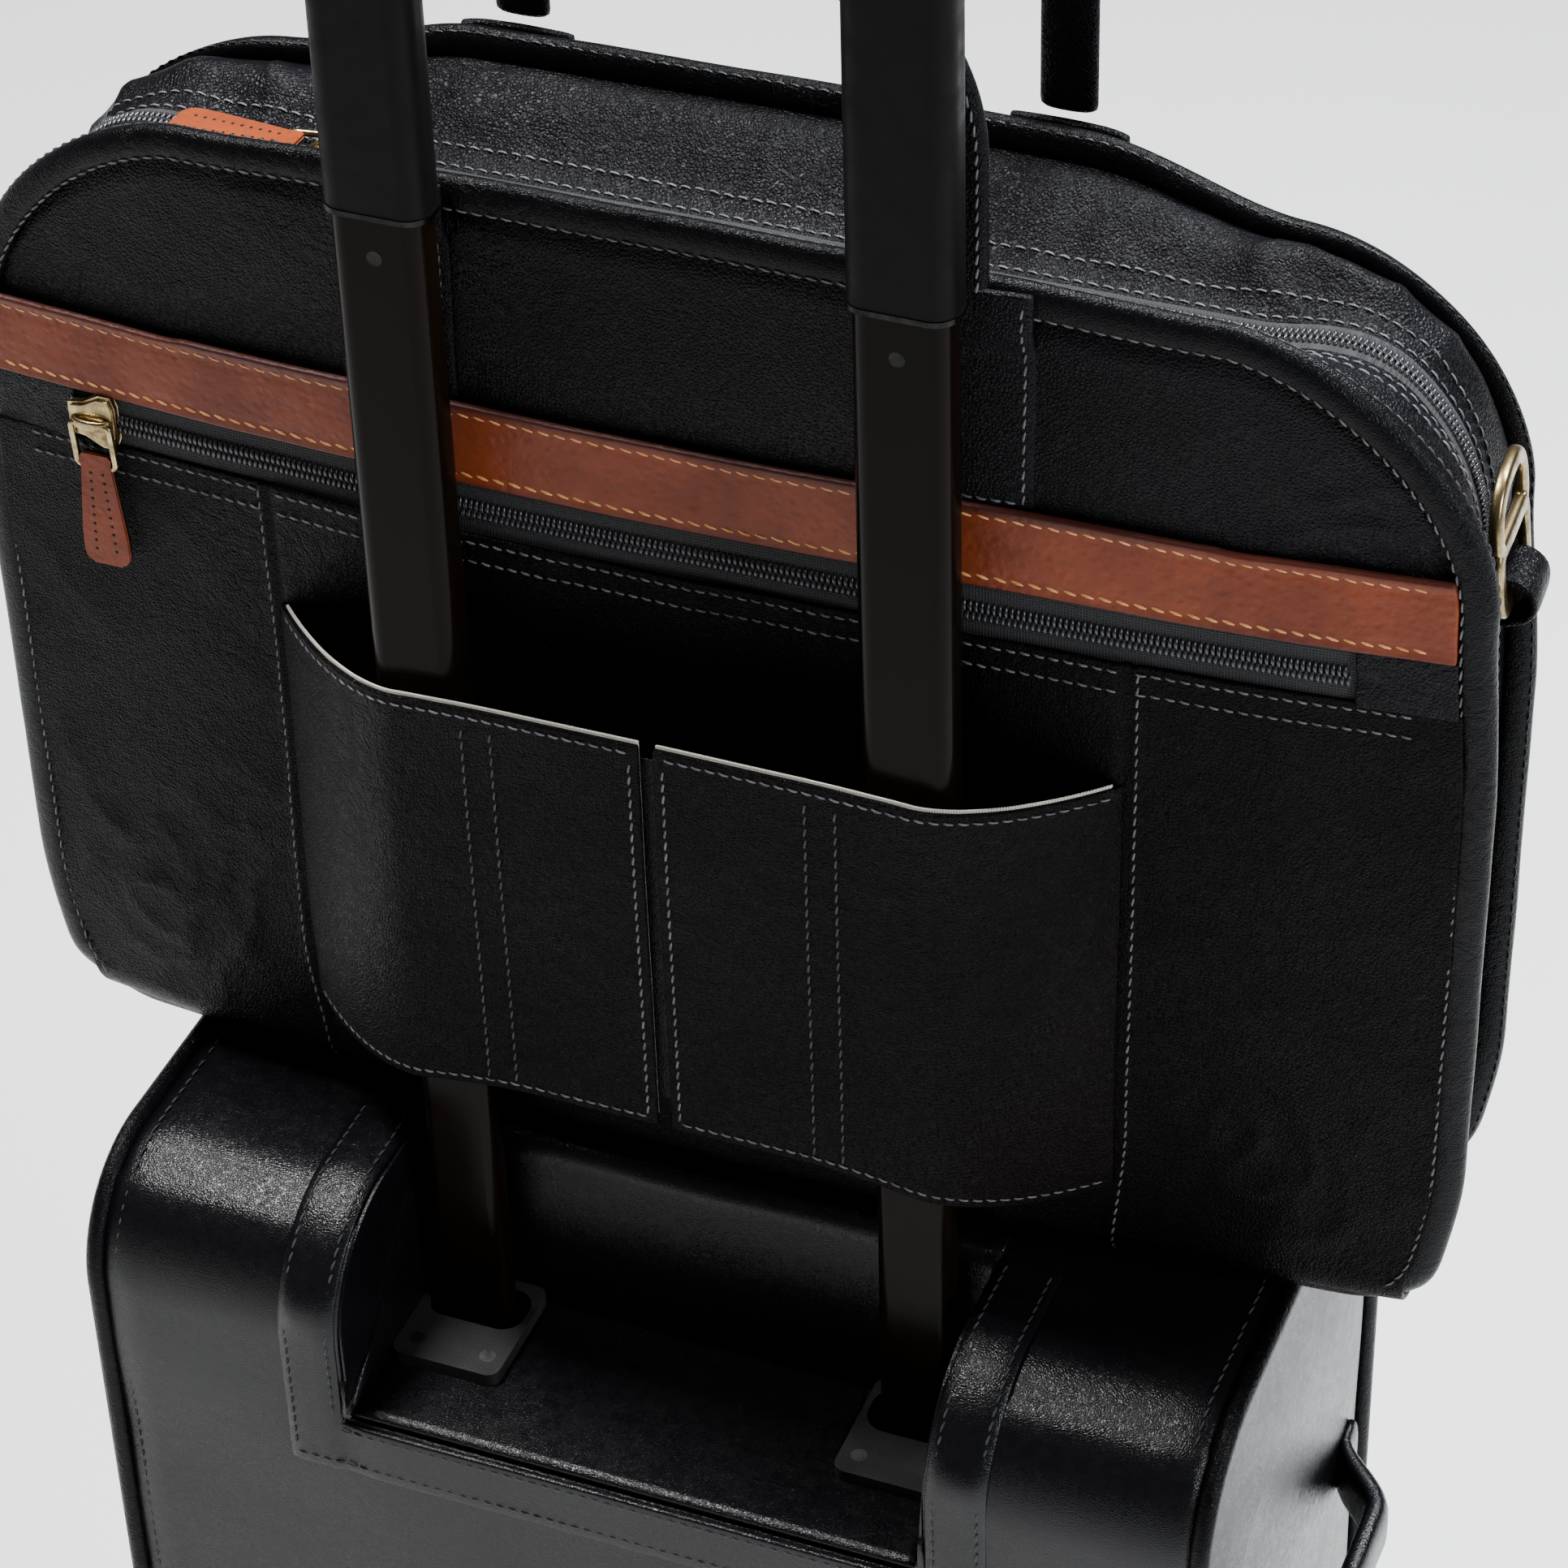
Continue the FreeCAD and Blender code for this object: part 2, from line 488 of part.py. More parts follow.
def grab_handle(name, low_y, high_y):
    """An arch of leather that stands over the bag's top."""
    outer = wide_box(name + "_outer", "handle_half", (low_y, high_y), ("handle_low", "handle_high"))
    inner = wide_box(name + "_inner", "handle_half - handle_width", (f"{low_y} - 1", f"{high_y} + 1"),
                     ("handle_low - 1", "handle_high - handle_width"))
    middle, radius = worth("(handle_low + handle_high) / 2"), worth("arch_radius")
    within = worth("arch_radius - handle_width")
    arch = rounded(name + "_arch", outer, Y_AXIS, lambda centre: radius if centre.z > middle else 0)
    hole = rounded(name + "_hole", inner, Y_AXIS, lambda centre: within if centre.z > middle else 0)
    return cut(name, arch, hole)


def make_handles():
    rear = strap("rear_strap", "bag_back", -1, "strap_foot")
    front = strap("front_strap", "bag_front", 1, "front_strap_low")
    straps = group("handle_straps", rear, mirrored("rear_strap_left", rear), front,
                   mirrored("front_strap_left", front))
    mirror_y = "bag_back + bag_front - handle_back"
    return [straps, grab_handle("rear_handle", "handle_back", "handle_back + handle_thick"),
            grab_handle("front_handle", f"{mirror_y} - handle_thick", mirror_y)]


def make_side_rings():
    """A flat two-slot ring at each end, held by a looped leather tab."""
    x = ("ring_x - ring_thick / 2", "ring_x + ring_thick / 2")
    wide_x = ("ring_x - ring_thick", "ring_x + ring_thick")
    plate = rounded_all("ring_plate", box("ring_block", x, ("ring_y - ring_half", "ring_y + ring_half"),
                        ("ring_low", "ring_high")), X_AXIS, worth("ring_edge"))
    slot_y = ("ring_y - ring_half + ring_leg", "ring_y + ring_half - ring_leg")
    middle = "(ring_low + ring_high) / 2"
    slots = [rounded_all(f"ring_slot_{name}", box(f"ring_slot_{name}_block", wide_x, slot_y, z), X_AXIS,
                         worth("ring_slot_edge"))
             for name, z in (("low", ("ring_low + ring_bar", f"{middle} - ring_bar / 2")),
                             ("high", (f"{middle} + ring_bar / 2", "ring_high - ring_bar")))]
    ring = cut("ring_right", plate, *slots)
    start, length = ("ring_x", "ring_y - tab_half", "loop_z"), "2 * tab_half"
    loop = rod("tab_loop", "loop_outer", start, length, Y_AXIS)
    foot = box("tab_foot", ("bag_half - gusset_inset + seam_gap", "ring_x - loop_outer + tab_thick"),
               ("ring_y - tab_half", "ring_y + tab_half"), ("tab_low", "loop_z"))
    eye = rod("tab_eye", "loop_inner", start, length, Y_AXIS)
    tab = cut("tab_right", fuse("tab_solid", loop, foot), eye)
    return [pair("ring_tabs", tab), ring, mirrored("ring_left", ring)]


# ---------------------------------------------------------------- zip sliders and pulls
def slider_and_pull(name, x, low, high, face, away):
    """A slider on an upright zip whose tape's face is at Y = face, with its pull hanging down."""
    near, far = f"{face} + {away} * seam_gap", f"{face} + {away} * slider_thick"
    front, back = f"{far} + {away} * seam_gap", f"{far} + {away} * (seam_gap + pull_thick)"
    order = (lambda a, b: (a, b)) if away > 0 else (lambda a, b: (b, a))
    body = box(name + "_slider_block", (f"{x} - slider_half", f"{x} + slider_half"), order(near, far),
               (low, high))
    body = rounded_all(name + "_slider", body, Y_AXIS, worth("slider_edge"))
    tab = box(name + "_pull_block", (f"{x} - pull_half", f"{x} + pull_half"), order(front, back),
              (f"{low} - pull_length", f"{low} - seam_gap"))
    edge, top = worth("pull_edge"), worth(low)
    tab = rounded(name + "_pull", tab, Y_AXIS, lambda centre: edge if centre.z < top - edge else 0)
    return [body, tab]


def make_main_slider():
    """The main zip's slider on top of the bag, with its pull lying along the zip."""
    base = "bag_high - gusset_inset - gusset_drop + seam_gap"
    x, y = "main_slider_x", "(zip_back + zip_front) / 2"
    body = box("main_slider_block", (f"{x} - slider_half", f"{x} + slider_half"),
               (f"{y} - slider_half", f"{y} + slider_half"), (base, f"{base} + slider_thick"))
    body = rounded_all("main_slider", body, Z_AXIS, worth("slider_edge"))
    low = f"{base} + slider_thick + seam_gap"
    end = f"{x} - slider_half - seam_gap"
    tab = box("main_pull_block", (f"{end} - pull_length", end), (f"{y} - pull_half", f"{y} + pull_half"),
              (low, f"{low} + pull_thick"))
    edge, root = worth("pull_edge"), worth(end)
    tab = rounded("main_pull", tab, Z_AXIS, lambda centre: edge if centre.x < root - edge else 0)
    return [body, tab]


def make_sliders():
    rear = slider_and_pull("rear", "rear_slider_x", "zip_low", "zip_high", "bag_back - zip_thick", -1)
    front = slider_and_pull("front", "front_slider_x", "front_pocket_high + seam_gap", "front_zip_high",
                            "bag_front + zip_thick", 1)
    case = slider_and_pull("case", "case_slider_x", "case_zip_low", "case_zip_high",
                           "case_front + zip_thick", 1)
    return rear + front + case + make_main_slider()


# ---------------------------------------------------------------- build, check and write
def check(nodes):
    """Stop if any object failed or any sub-part's shape is missing or broken."""
    failed = [item.Name for item in doc.Objects if {"Invalid", "Error"} & set(item.State)]
    if failed:
        raise RuntimeError("failed objects: " + ", ".join(failed))
    for node in nodes:
        if node.Shape.isNull() or not node.Shape.isValid() or not node.Shape.Solids:
            raise RuntimeError("bad shape: " + node.Label)


def main():
    fill_sheet()
    makers = (make_case_skins, make_well, make_case_inside, make_case_outside, make_wheels, make_handle,
              make_bag_faces, make_gusset, make_sleeve, make_handles, make_side_rings, make_sliders)
    nodes = [node for maker in makers for node in maker()]
    doc.recompute()
    check(nodes)
    os.makedirs("parts", exist_ok=True)
    for node in nodes:
        node.Label = node.Name
        node.Shape.exportStep(f"parts/{node.Label}.step")
    print(len(nodes), "nodes")


main()
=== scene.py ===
"""Looks of the rolling laptop case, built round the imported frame. Lengths are metres.

The bag's back (low y) carries the tan stripe and the trolley sleeve; z is up."""

import math
import random

import bpy
from mathutils import Matrix, Vector, noise


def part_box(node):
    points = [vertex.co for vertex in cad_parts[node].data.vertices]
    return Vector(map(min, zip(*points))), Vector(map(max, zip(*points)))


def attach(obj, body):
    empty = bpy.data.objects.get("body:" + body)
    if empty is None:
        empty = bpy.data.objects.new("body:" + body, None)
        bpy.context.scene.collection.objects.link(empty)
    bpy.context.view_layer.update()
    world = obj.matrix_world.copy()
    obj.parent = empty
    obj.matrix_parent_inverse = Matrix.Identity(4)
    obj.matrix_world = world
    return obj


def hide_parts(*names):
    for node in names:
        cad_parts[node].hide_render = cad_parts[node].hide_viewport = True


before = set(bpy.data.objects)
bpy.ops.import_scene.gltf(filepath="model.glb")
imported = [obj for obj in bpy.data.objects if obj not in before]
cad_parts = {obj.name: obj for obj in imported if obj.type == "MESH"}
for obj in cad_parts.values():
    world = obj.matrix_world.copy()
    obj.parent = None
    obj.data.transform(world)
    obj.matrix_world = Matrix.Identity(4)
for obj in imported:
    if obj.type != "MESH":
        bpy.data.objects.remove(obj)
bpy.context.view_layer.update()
random.seed(7)
MM = 0.001
BAG, CASE = "laptop_bag", "wheeled_case"         # the two bodies that carry most pieces
BACKWARD, FORWARD, UP = Vector((0, -1, 0)), Vector((0, 1, 0)), Vector((0, 0, 1))

# ------------------------------------------------------------------ places taken from the frame
CASE_LOW, CASE_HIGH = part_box("case_shell")
BAG_LOW, BAG_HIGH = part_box("binding_rear")
BACK_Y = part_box("back_panel")[0][1]             # outer face of the bag's back
FRONT_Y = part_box("front_panel")[1][1]           # outer face of the bag's front
BAG_HALF = BAG_HIGH[0]
STRIPE_LOW, STRIPE_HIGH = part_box("accent_stripe")[0][2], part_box("accent_stripe")[1][2]
ZIP_LOW, ZIP_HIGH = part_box("rear_zip")[0][2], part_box("rear_zip")[1][2]
POCKET_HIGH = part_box("rear_pocket")[1][2]
SLEEVE_LOW, SLEEVE_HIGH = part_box("sleeve_right")
WELL_LOW, WELL_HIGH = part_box("well_tray")
WELL_HALF = WELL_HIGH[0]
MAIN_ZIP_LOW, MAIN_ZIP_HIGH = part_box("main_zip")
PANEL_HALF = 214 * MM                            # half width of the stripe and of the pocket
TOP_RADIUS, LOW_RADIUS = 78 * MM, 26 * MM        # bag outline
CROWN = 9 * MM                                   # how far the bag's ends stand back from its middle
FRONT_NARROWER = 0.024                           # the share of its width the bag loses at its front
NEAR_DROOP = (2.7, 9.5, 4.0)                     # mm the back's top, corner and end have settled
FAR_DROOP = (13.5, 12.0, 5.5)                    # the same at the front
SLOTS = {"case_leather": "case_leather", "edge_leather": "edge_leather", "stripe_leather": "tan_leather",
         "pull_leather": "tan_leather", "tan_thread": "tan_leather", "cream_lining": "lining",
         "zip_tape": "tape", "lining": "lining", "coil_nylon": "tape", "antique_brass": "antique_brass",
         "hub_nylon": "hub", "tyre_rubber": "tyre"}     # material name to its slot; the rest are bag_leather


# ------------------------------------------------------------------ small maths
def centre_of(low, high):
    return Vector([(a + b) / 2 for a, b in zip(low, high)])


def smooth(value):
    value = min(max(value, 0.0), 1.0)
    return value * value * (3 - 2 * value)


def bump(value, centre, width):
    return math.exp(-((value - centre) / width) ** 2)


def ripple(point, size, seed=0.0):
    """Smooth noise from -1 to 1 whose features are about size across."""
    return noise.noise(Vector(point) / size + Vector((seed, seed * 1.7, seed * 0.6)))


def folds(point, size, seed=0.0):
    """Soft creases: ridged noise from 0 to 1, one at a crease."""
    return (1 - abs(ripple(point, size, seed))) ** 3


def between(rows, share):
    """The entry a share (0 to 1) of the way along a list of points, blended from its two neighbours."""
    place = share * (len(rows) - 1)
    i = min(int(place), len(rows) - 2)
    return [a + (b - a) * (place - i) for a, b in zip(rows[i], rows[i + 1])]


def steps(low, high, pitch=4 * MM):
    count = max(2, round(abs(high - low) / pitch) + 1)
    return [low + (high - low) * i / (count - 1) for i in range(count)]


def arc(a, b, radius, start, end, count):
    """Points on a circle about (a, b), each with its outward normal: (a, b, normal a, normal b)."""
    turns = [math.radians(start + (end - start) * step / count) for step in range(count + 1)]
    return [(a + radius * math.cos(t), b + radius * math.sin(t), math.cos(t), math.sin(t)) for t in turns]


def quarter(a, b, radius, start, end, pitch):
    return arc(a, b, radius, start, end, max(6, round(radius * math.pi / 2 / pitch)))


def spread(points, spacing):
    """A closed line through the points, with a point about every spacing."""
    for a, b in zip(points, points[1:] + points[:1]):
        parts = max(1, round(math.hypot(b[0] - a[0], b[1] - a[1]) / spacing))
        for part in range(parts):
            yield [p + (q - p) * part / parts for p, q in zip(a, b)]


# ------------------------------------------------------------------ mesh helpers
def settled(spot, body):
    """The bag's soft shape: it is narrower at its front, and its top corners droop and pull in."""
    x, y, z = spot
    if z < BAG_LOW[2] or y < -34 * MM:
        return x, y, z
    dx, dz = (abs(x) - BAG_HALF + TOP_RADIUS) / TOP_RADIUS, (z - BAG_HIGH[2] + TOP_RADIUS) / TOP_RADIUS
    x *= 1 - FRONT_NARROWER * smooth(y / FRONT_Y)
    near, far = 1 - smooth((y + 19 * MM) / (24 * MM)), smooth((y - 35 * MM) / (20 * MM))
    if body != BAG or near + far == 0:
        return x, y, z
    top, corner, end = [(near * a + far * b) * MM for a, b in zip(NEAR_DROOP, FAR_DROOP)]
    if dx > 0 and dz > 0:
        turn = math.atan2(dz, dx) / (math.pi / 2)
        pull = end + (top - end) * turn + (corner - (end + top) / 2) * math.sin(math.pi * turn)
    elif dz > 0:
        dx, pull = 0, top * smooth((abs(x) - 90 * MM) / (62 * MM))
    else:
        dx, dz, pull = max(dx, 0), 0, end * smooth((z - 560 * MM) / (72 * MM))
    return x - math.copysign(pull * dx, x), y, z - pull * dz


def new_mesh(name, verts, faces, material, body, smooth_faces=True):
    data = bpy.data.meshes.new(name)
    data.from_pydata([settled(v, body) for v in verts], [], faces)
    data.update()
    if smooth_faces:
        data.polygons.foreach_set("use_smooth", [True] * len(data.polygons))
    piece = bpy.data.objects.new(name, data)
    bpy.context.collection.objects.link(piece)
    piece.data.materials.append(material)
    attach(piece, body)
    SLOTS.get(material.name, "bag_leather")
    return piece


def add_modifier(piece, kind, **settings):
    modifier = piece.modifiers.new(kind.lower(), kind)
    for key, value in settings.items():
        setattr(modifier, key, value)
    return modifier


def add_bevel(piece, width, angle_limit=0.6, segments=3):
    return add_modifier(piece, "BEVEL", width=width, segments=segments, limit_method="ANGLE",
                        angle_limit=angle_limit)


def add_smoothing(piece):
    return add_modifier(piece, "SUBSURF", levels=1, render_levels=1)


def grid_faces(columns, rows, closed=False, looped=False, skip=lambda i, j: False):
    """Quads of a grid of points stored column by column. Closed joins the last column to the first,
    looped the last row to the first, and skip(column, row) leaves a hole."""
    faces = []
    for i in range(columns if closed else columns - 1):
        a, b = i * rows, ((i + 1) % columns) * rows
        for j in range(rows if looped else rows - 1):
            if not skip(i, j):
                k = (j + 1) % rows
                faces.append((a + j, b + j, b + k, a + k))
    return faces


def sheet_piece(name, columns, rows, point, material, body, thickness, offset=-1.0):
    """A surface from point(u, v) with u and v from 0 to 1, given a thickness with rounded rims."""
    verts = [point(i / (columns - 1), j / (rows - 1)) for i in range(columns) for j in range(rows)]
    piece = new_mesh(name, verts, grid_faces(columns, rows), material, body)
    add_modifier(piece, "SOLIDIFY", thickness=thickness, offset=offset)
    add_bevel(piece, min(thickness * 0.35, 1.2 * MM), 1.0)
    return piece


def tube_faces(rings, around, closed=False, start=0):
    """Faces of a tube of rings of points, with its two ends closed unless it runs round."""
    faces = []
    for i in range(rings if closed else rings - 1):
        a, b = start + i * around, start + ((i + 1) % rings) * around
        for j in range(around):
            k = (j + 1) % around
            faces.append((a + j, a + k, b + k, b + j))
    if not closed:
        last = start + (rings - 1) * around
        faces += [tuple(start + j for j in reversed(range(around))), tuple(last + j for j in range(around))]
    return faces


def sweep_piece(name, path, normals, section, material, body, closed=False):
    """A closed section swept along a path. Section pairs are (side, out); normals are the way out."""
    verts, count = [], len(path)
    for i, (spot, out) in enumerate(zip(path, normals)):
        before = path[i - 1] if i or closed else spot
        after = path[(i + 1) % count] if i < count - 1 or closed else spot
        along = (after - before).normalized()
        side = along.cross(out).normalized()
        up = side.cross(along).normalized()
        ring = section(i / max(count - 1, 1)) if callable(section) else section
        verts += [spot + side * a + up * b for a, b in ring]
    return new_mesh(name, verts, tube_faces(count, len(ring), closed), material, body)


def oval(half_width, half_height, power=2.0, steps=16):
    """Points round a superellipse; a power over 2 is boxier."""
    ring = []
    for step in range(steps):
        angle = 2 * math.pi * step / steps
        c, s = math.cos(angle), math.sin(angle)
        ring.append((half_width * math.copysign(abs(c) ** (2 / power), c),
                     half_height * math.copysign(abs(s) ** (2 / power), s)))
    return ring


def resample(path, pitch, closed=False):
    """Points every pitch along a path."""
    points = list(path) + ([path[0]] if closed else [])
    result, left = [points[0].copy()], pitch
    for a, b in zip(points, points[1:]):
        length = (b - a).length
        gone = 0.0
        while length - gone >= left:
            gone += left
            result.append(a.lerp(b, gone / length))
            left = pitch
        left -= length - gone
    return result


def add_bar(verts, faces, rings, side, up, flat=1.0, around=6):
    """Add a closed bar through rings of (centre, radius); flat under 1 makes it an oval."""
    faces += tube_faces(len(rings), around, start=len(verts))
    for centre, radius in rings:
        for k in range(around):
            angle = 2 * math.pi * k / around
            verts.append(centre + side * (math.cos(angle) * radius) + up * (math.sin(angle) * radius * flat))


def ways(path):
    """The way a path runs at each of its points."""
    last = len(path) - 1
    return [path[min(i + 1, last)] - path[max(i - 1, 0)] for i in range(last + 1)]


def stitch_row(name, path, normal, material, body, pitch=4.6 * MM, radius=0.42 * MM, tilt=0.16, fill=0.8):
    """One row of thread: slanted capsules along a path, half sunk in the leather. The normal, or the
    normal at a spot, is the leather's way out."""
    spots = resample(path, pitch)
    verts, faces = [], []
    for a, b in zip(spots, spots[1:]):
        along = (b - a).normalized()
        up = normal(a) if callable(normal) else normal
        side = along.cross(up).normalized()
        along = (along + side * (tilt + random.uniform(-0.03, 0.03))).normalized()
        side = along.cross(up).normalized()
        centre, half = (a + b) / 2, (b - a).length * fill / 2
        rings = [(centre + along * (t * half) + up * (radius * (0.35 - 0.9 * t * t)), radius * width)
                 for t, width in ((-1.0, 0.25), (-0.72, 0.85), (0.0, 1.0), (0.72, 0.85), (1.0, 0.25))]
        add_bar(verts, faces, rings, side, up, 0.8)
    return new_mesh(name, verts, faces, material, body)


def joined(name, pieces):
    """Join several meshes, which may differ in material, into one piece."""
    bpy.ops.object.select_all(action="DESELECT")
    for piece in pieces:
        piece.select_set(True)
    bpy.context.view_layer.objects.active = pieces[0]
    bpy.ops.object.join()
    pieces[0].name = name
    return pieces[0]


# ------------------------------------------------------------------ materials
class Nodes:
    """A short way to write a material's node tree. Texture coordinates are metres in the row frame."""

    def __init__(self, name, **surface):
        self.material = bpy.data.materials.new(name)
        self.material.use_nodes = True
        self.tree = self.material.node_tree
        self.shader = self.tree.nodes["Principled BSDF"]
        coords = self.tree.nodes.new("ShaderNodeTexCoord")
        self.coords = coords.outputs["Object"]
        for key, value in surface.items():
            self.shader.inputs[key.replace("_", " ")].default_value = value

    def add(self, kind, settings=None, **inputs):
        node = self.tree.nodes.new("ShaderNode" + kind)
        for key, value in (settings or {}).items():
            setattr(node, key, value)
        for key, value in inputs.items():
            socket = node.inputs[int(key[1:])] if key[0] == "i" and key[1:].isdigit() else node.inputs[key]
            if isinstance(value, bpy.types.NodeSocket):
                self.tree.links.new(value, socket)
            else:
                socket.default_value = value
        return node

    def scaled(self, x, y, z):
        return self.add("Mapping", Vector=self.coords, Scale=(x, y, z)).outputs["Vector"]

    def noise(self, scale, detail=3.0, rough=0.55, vector=None, distortion=0.0):
        return self.add("TexNoise", Vector=vector or self.coords, Scale=scale, Detail=detail, Roughness=rough,
                        Distortion=distortion).outputs[0]

    def voronoi(self, scale, feature="F1"):
        return self.add("TexVoronoi", {"feature": feature}, Vector=self.coords, Scale=scale).outputs["Distance"]

    def ramp(self, value, low, high, out_low=0.0, out_high=1.0):
        node = self.add("MapRange", i0=value, i1=low, i2=high, i3=out_low, i4=out_high)
        return node.outputs[0]

    def math(self, operation, a, b=0.0):
        return self.add("Math", {"operation": operation}, i0=a, i1=b).outputs[0]

    def mix(self, factor, first, second):
        node = self.add("Mix", {"data_type": "RGBA"}, i0=factor, i6=first, i7=second)
        return node.outputs[2]

    def bump(self, height, depth, normal=None):
        node = self.add("Bump", Height=height, Distance=depth, Strength=1.0)
        if normal:
            self.tree.links.new(normal, node.inputs["Normal"])
        return node.outputs["Normal"]

    def link(self, output, name):
        self.tree.links.new(output, self.shader.inputs[name])


def rgb(red, green, blue):
    return (red, green, blue, 1.0)


def leather(name, dark, light, rough=(0.30, 0.46), grain=850.0, grain_depth=0.00016,
            crease_scale=120.0, crease_depth=0.00022, coat=0.0, shine=0.10):
    """Grained leather: pebbles, fine pores, creases that come and go, and a patchy polish."""
    n = Nodes(name)
    patches = n.noise(14.0, 4.0, 0.6)
    fine = n.noise(260.0, 3.0, 0.6)
    n.link(n.mix(n.ramp(patches, 0.35, 0.7), rgb(*dark), rgb(*light)), "Base Color")
    mottle = n.math("ADD", n.ramp(patches, 0.3, 0.75, rough[1], rough[0]), n.ramp(fine, 0.3, 0.7, -0.05, 0.05))
    n.link(mottle, "Roughness")
    pebbles = n.ramp(n.voronoi(grain, "DISTANCE_TO_EDGE"), 0.0, 0.3)
    wrinkles = n.noise(crease_scale, 5.0, 0.6, distortion=0.8)
    slack = n.ramp(n.noise(11.0, 2.0, 0.5), 0.42, 0.66, 0.35, 1.0)
    creases = n.ramp(n.math("ABSOLUTE", n.math("SUBTRACT", wrinkles, 0.5)), 0.0, 0.10)
    step = n.bump(pebbles, grain_depth)
    step = n.bump(n.math("MULTIPLY", creases, slack), crease_depth, step)
    step = n.bump(n.noise(crease_scale * 0.2, 3.0, 0.5), crease_depth * 3.0, step)
    n.link(step, "Normal")
    n.shader.inputs["Specular IOR Level"].default_value = shine
    n.shader.inputs["Coat Weight"].default_value = coat
    n.shader.inputs["Coat Roughness"].default_value = 0.22
    return n.material


def tan_leather(name, low_z=None, high_z=None):
    """Vegetable-tanned leather: mottled red-brown, darker where its edges are burnished."""
    n = Nodes(name)
    patches = n.noise(38.0, 5.0, 0.62)
    specks = n.noise(420.0, 2.0, 0.6)
    pits = n.voronoi(300.0, "F1")
    base = n.mix(n.ramp(patches, 0.3, 0.72), rgb(0.130, 0.021, 0.005), rgb(0.235, 0.043, 0.010))
    base = n.mix(n.ramp(specks, 0.52, 0.72, 0.0, 0.45), base, rgb(0.10, 0.022, 0.012))
    if high_z:
        height = n.add("SeparateXYZ", Vector=n.coords).outputs["Z"]
        top = n.ramp(height, high_z - 3.2 * MM, high_z - 0.4 * MM, 0.0, 0.86)
        foot = n.ramp(height, low_z + 2.0 * MM, low_z + 0.2 * MM, 0.0, 0.6)
        base = n.mix(n.math("MAXIMUM", top, foot), base, rgb(0.036, 0.009, 0.008))
    n.link(base, "Base Color")
    n.link(n.ramp(patches, 0.3, 0.7, 0.5, 0.38), "Roughness")
    n.shader.inputs["Specular IOR Level"].default_value = 0.22
    step = n.bump(n.ramp(pits, 0.1, 0.5), 0.00012)
    step = n.bump(specks, 0.00016, step)
    step = n.bump(n.noise(60.0, 4.0, 0.6), 0.0006, step)
    n.link(step, "Normal")
    return n.material


def thread(name, dark, light):
    """Waxed thread with a twist."""
    n = Nodes(name, Roughness=0.55)
    n.link(n.mix(n.ramp(n.noise(240.0, 2.0), 0.3, 0.7), rgb(*dark), rgb(*light)), "Base Color")
    twist = n.add("TexWave", {"wave_type": "BANDS", "bands_direction": "DIAGONAL"}, Vector=n.coords,
                  Scale=900.0, Distortion=1.0)
    n.link(n.bump(twist.outputs["Fac"], 0.0001), "Normal")
    return n.material


def metal(name, dark, light, rough=(0.22, 0.42), brushed=(60.0, 60.0, 900.0), depth=0.00003, metallic=1.0):
    """Brushed or cast metal with darker patina in patches."""
    n = Nodes(name, Metallic=metallic)
    patina = n.noise(190.0, 4.0, 0.65)
    n.link(n.mix(n.ramp(patina, 0.35, 0.68), rgb(*dark), rgb(*light)), "Base Color")
    n.link(n.ramp(patina, 0.3, 0.7, rough[1], rough[0]), "Roughness")
    n.link(n.bump(n.noise(1.0, 3.0, 0.6, vector=n.scaled(*brushed)), depth), "Normal")
    return n.material


def paint(name, dark, light, rough, flake=0.0, depth=0.00001, shine=0.5):
    """Painted or anodised metal: an even coat with a faint orange peel and rub marks."""
    n = Nodes(name, Specular_IOR_Level=shine)
    cloud = n.noise(9.0, 3.0, 0.5, vector=n.scaled(1.0, 1.0, 0.25))
    n.link(n.mix(n.ramp(cloud, 0.35, 0.7), rgb(*dark), rgb(*light)), "Base Color")
    n.link(n.ramp(n.noise(120.0, 5.0, 0.7), 0.35, 0.75, rough, rough * 1.6 + flake), "Roughness")
    n.link(n.bump(n.noise(700.0, 2.0), depth), "Normal")
    return n.material


def moulded(name, dark, light, rough=0.5, scale=1500.0, depth=0.00008):
    """Moulded plastic or rubber with a spark-eroded texture."""
    n = Nodes(name)
    n.link(n.mix(n.noise(40.0, 3.0), rgb(*dark), rgb(*light)), "Base Color")
    n.link(n.ramp(n.noise(90.0, 4.0, 0.6), 0.3, 0.7, rough - 0.07, rough + 0.09), "Roughness")
    n.link(n.bump(n.noise(scale, 2.0, 0.5), depth), "Normal")
    return n.material


def woven(name, dark, light, pitch=0.0011, depth=0.0003, rough=0.8):
    """A twill or plain weave: two crossed wave patterns."""
    n = Nodes(name, Roughness=rough)
    bands = []
    for direction in ("X", "Z"):
        wave = n.add("TexWave", {"wave_type": "BANDS", "bands_direction": direction}, Vector=n.coords,
                     Scale=0.314 / pitch, Distortion=0.6, Detail=1.0)
        bands.append(wave.outputs["Fac"])
    weave = n.math("MAXIMUM", *bands)
    n.link(n.mix(n.ramp(weave, 0.4, 1.0), rgb(*dark), rgb(*light)), "Base Color")
    n.link(n.bump(weave, depth), "Normal")
    n.shader.inputs["Sheen Weight"].default_value = 0.06
    return n.material


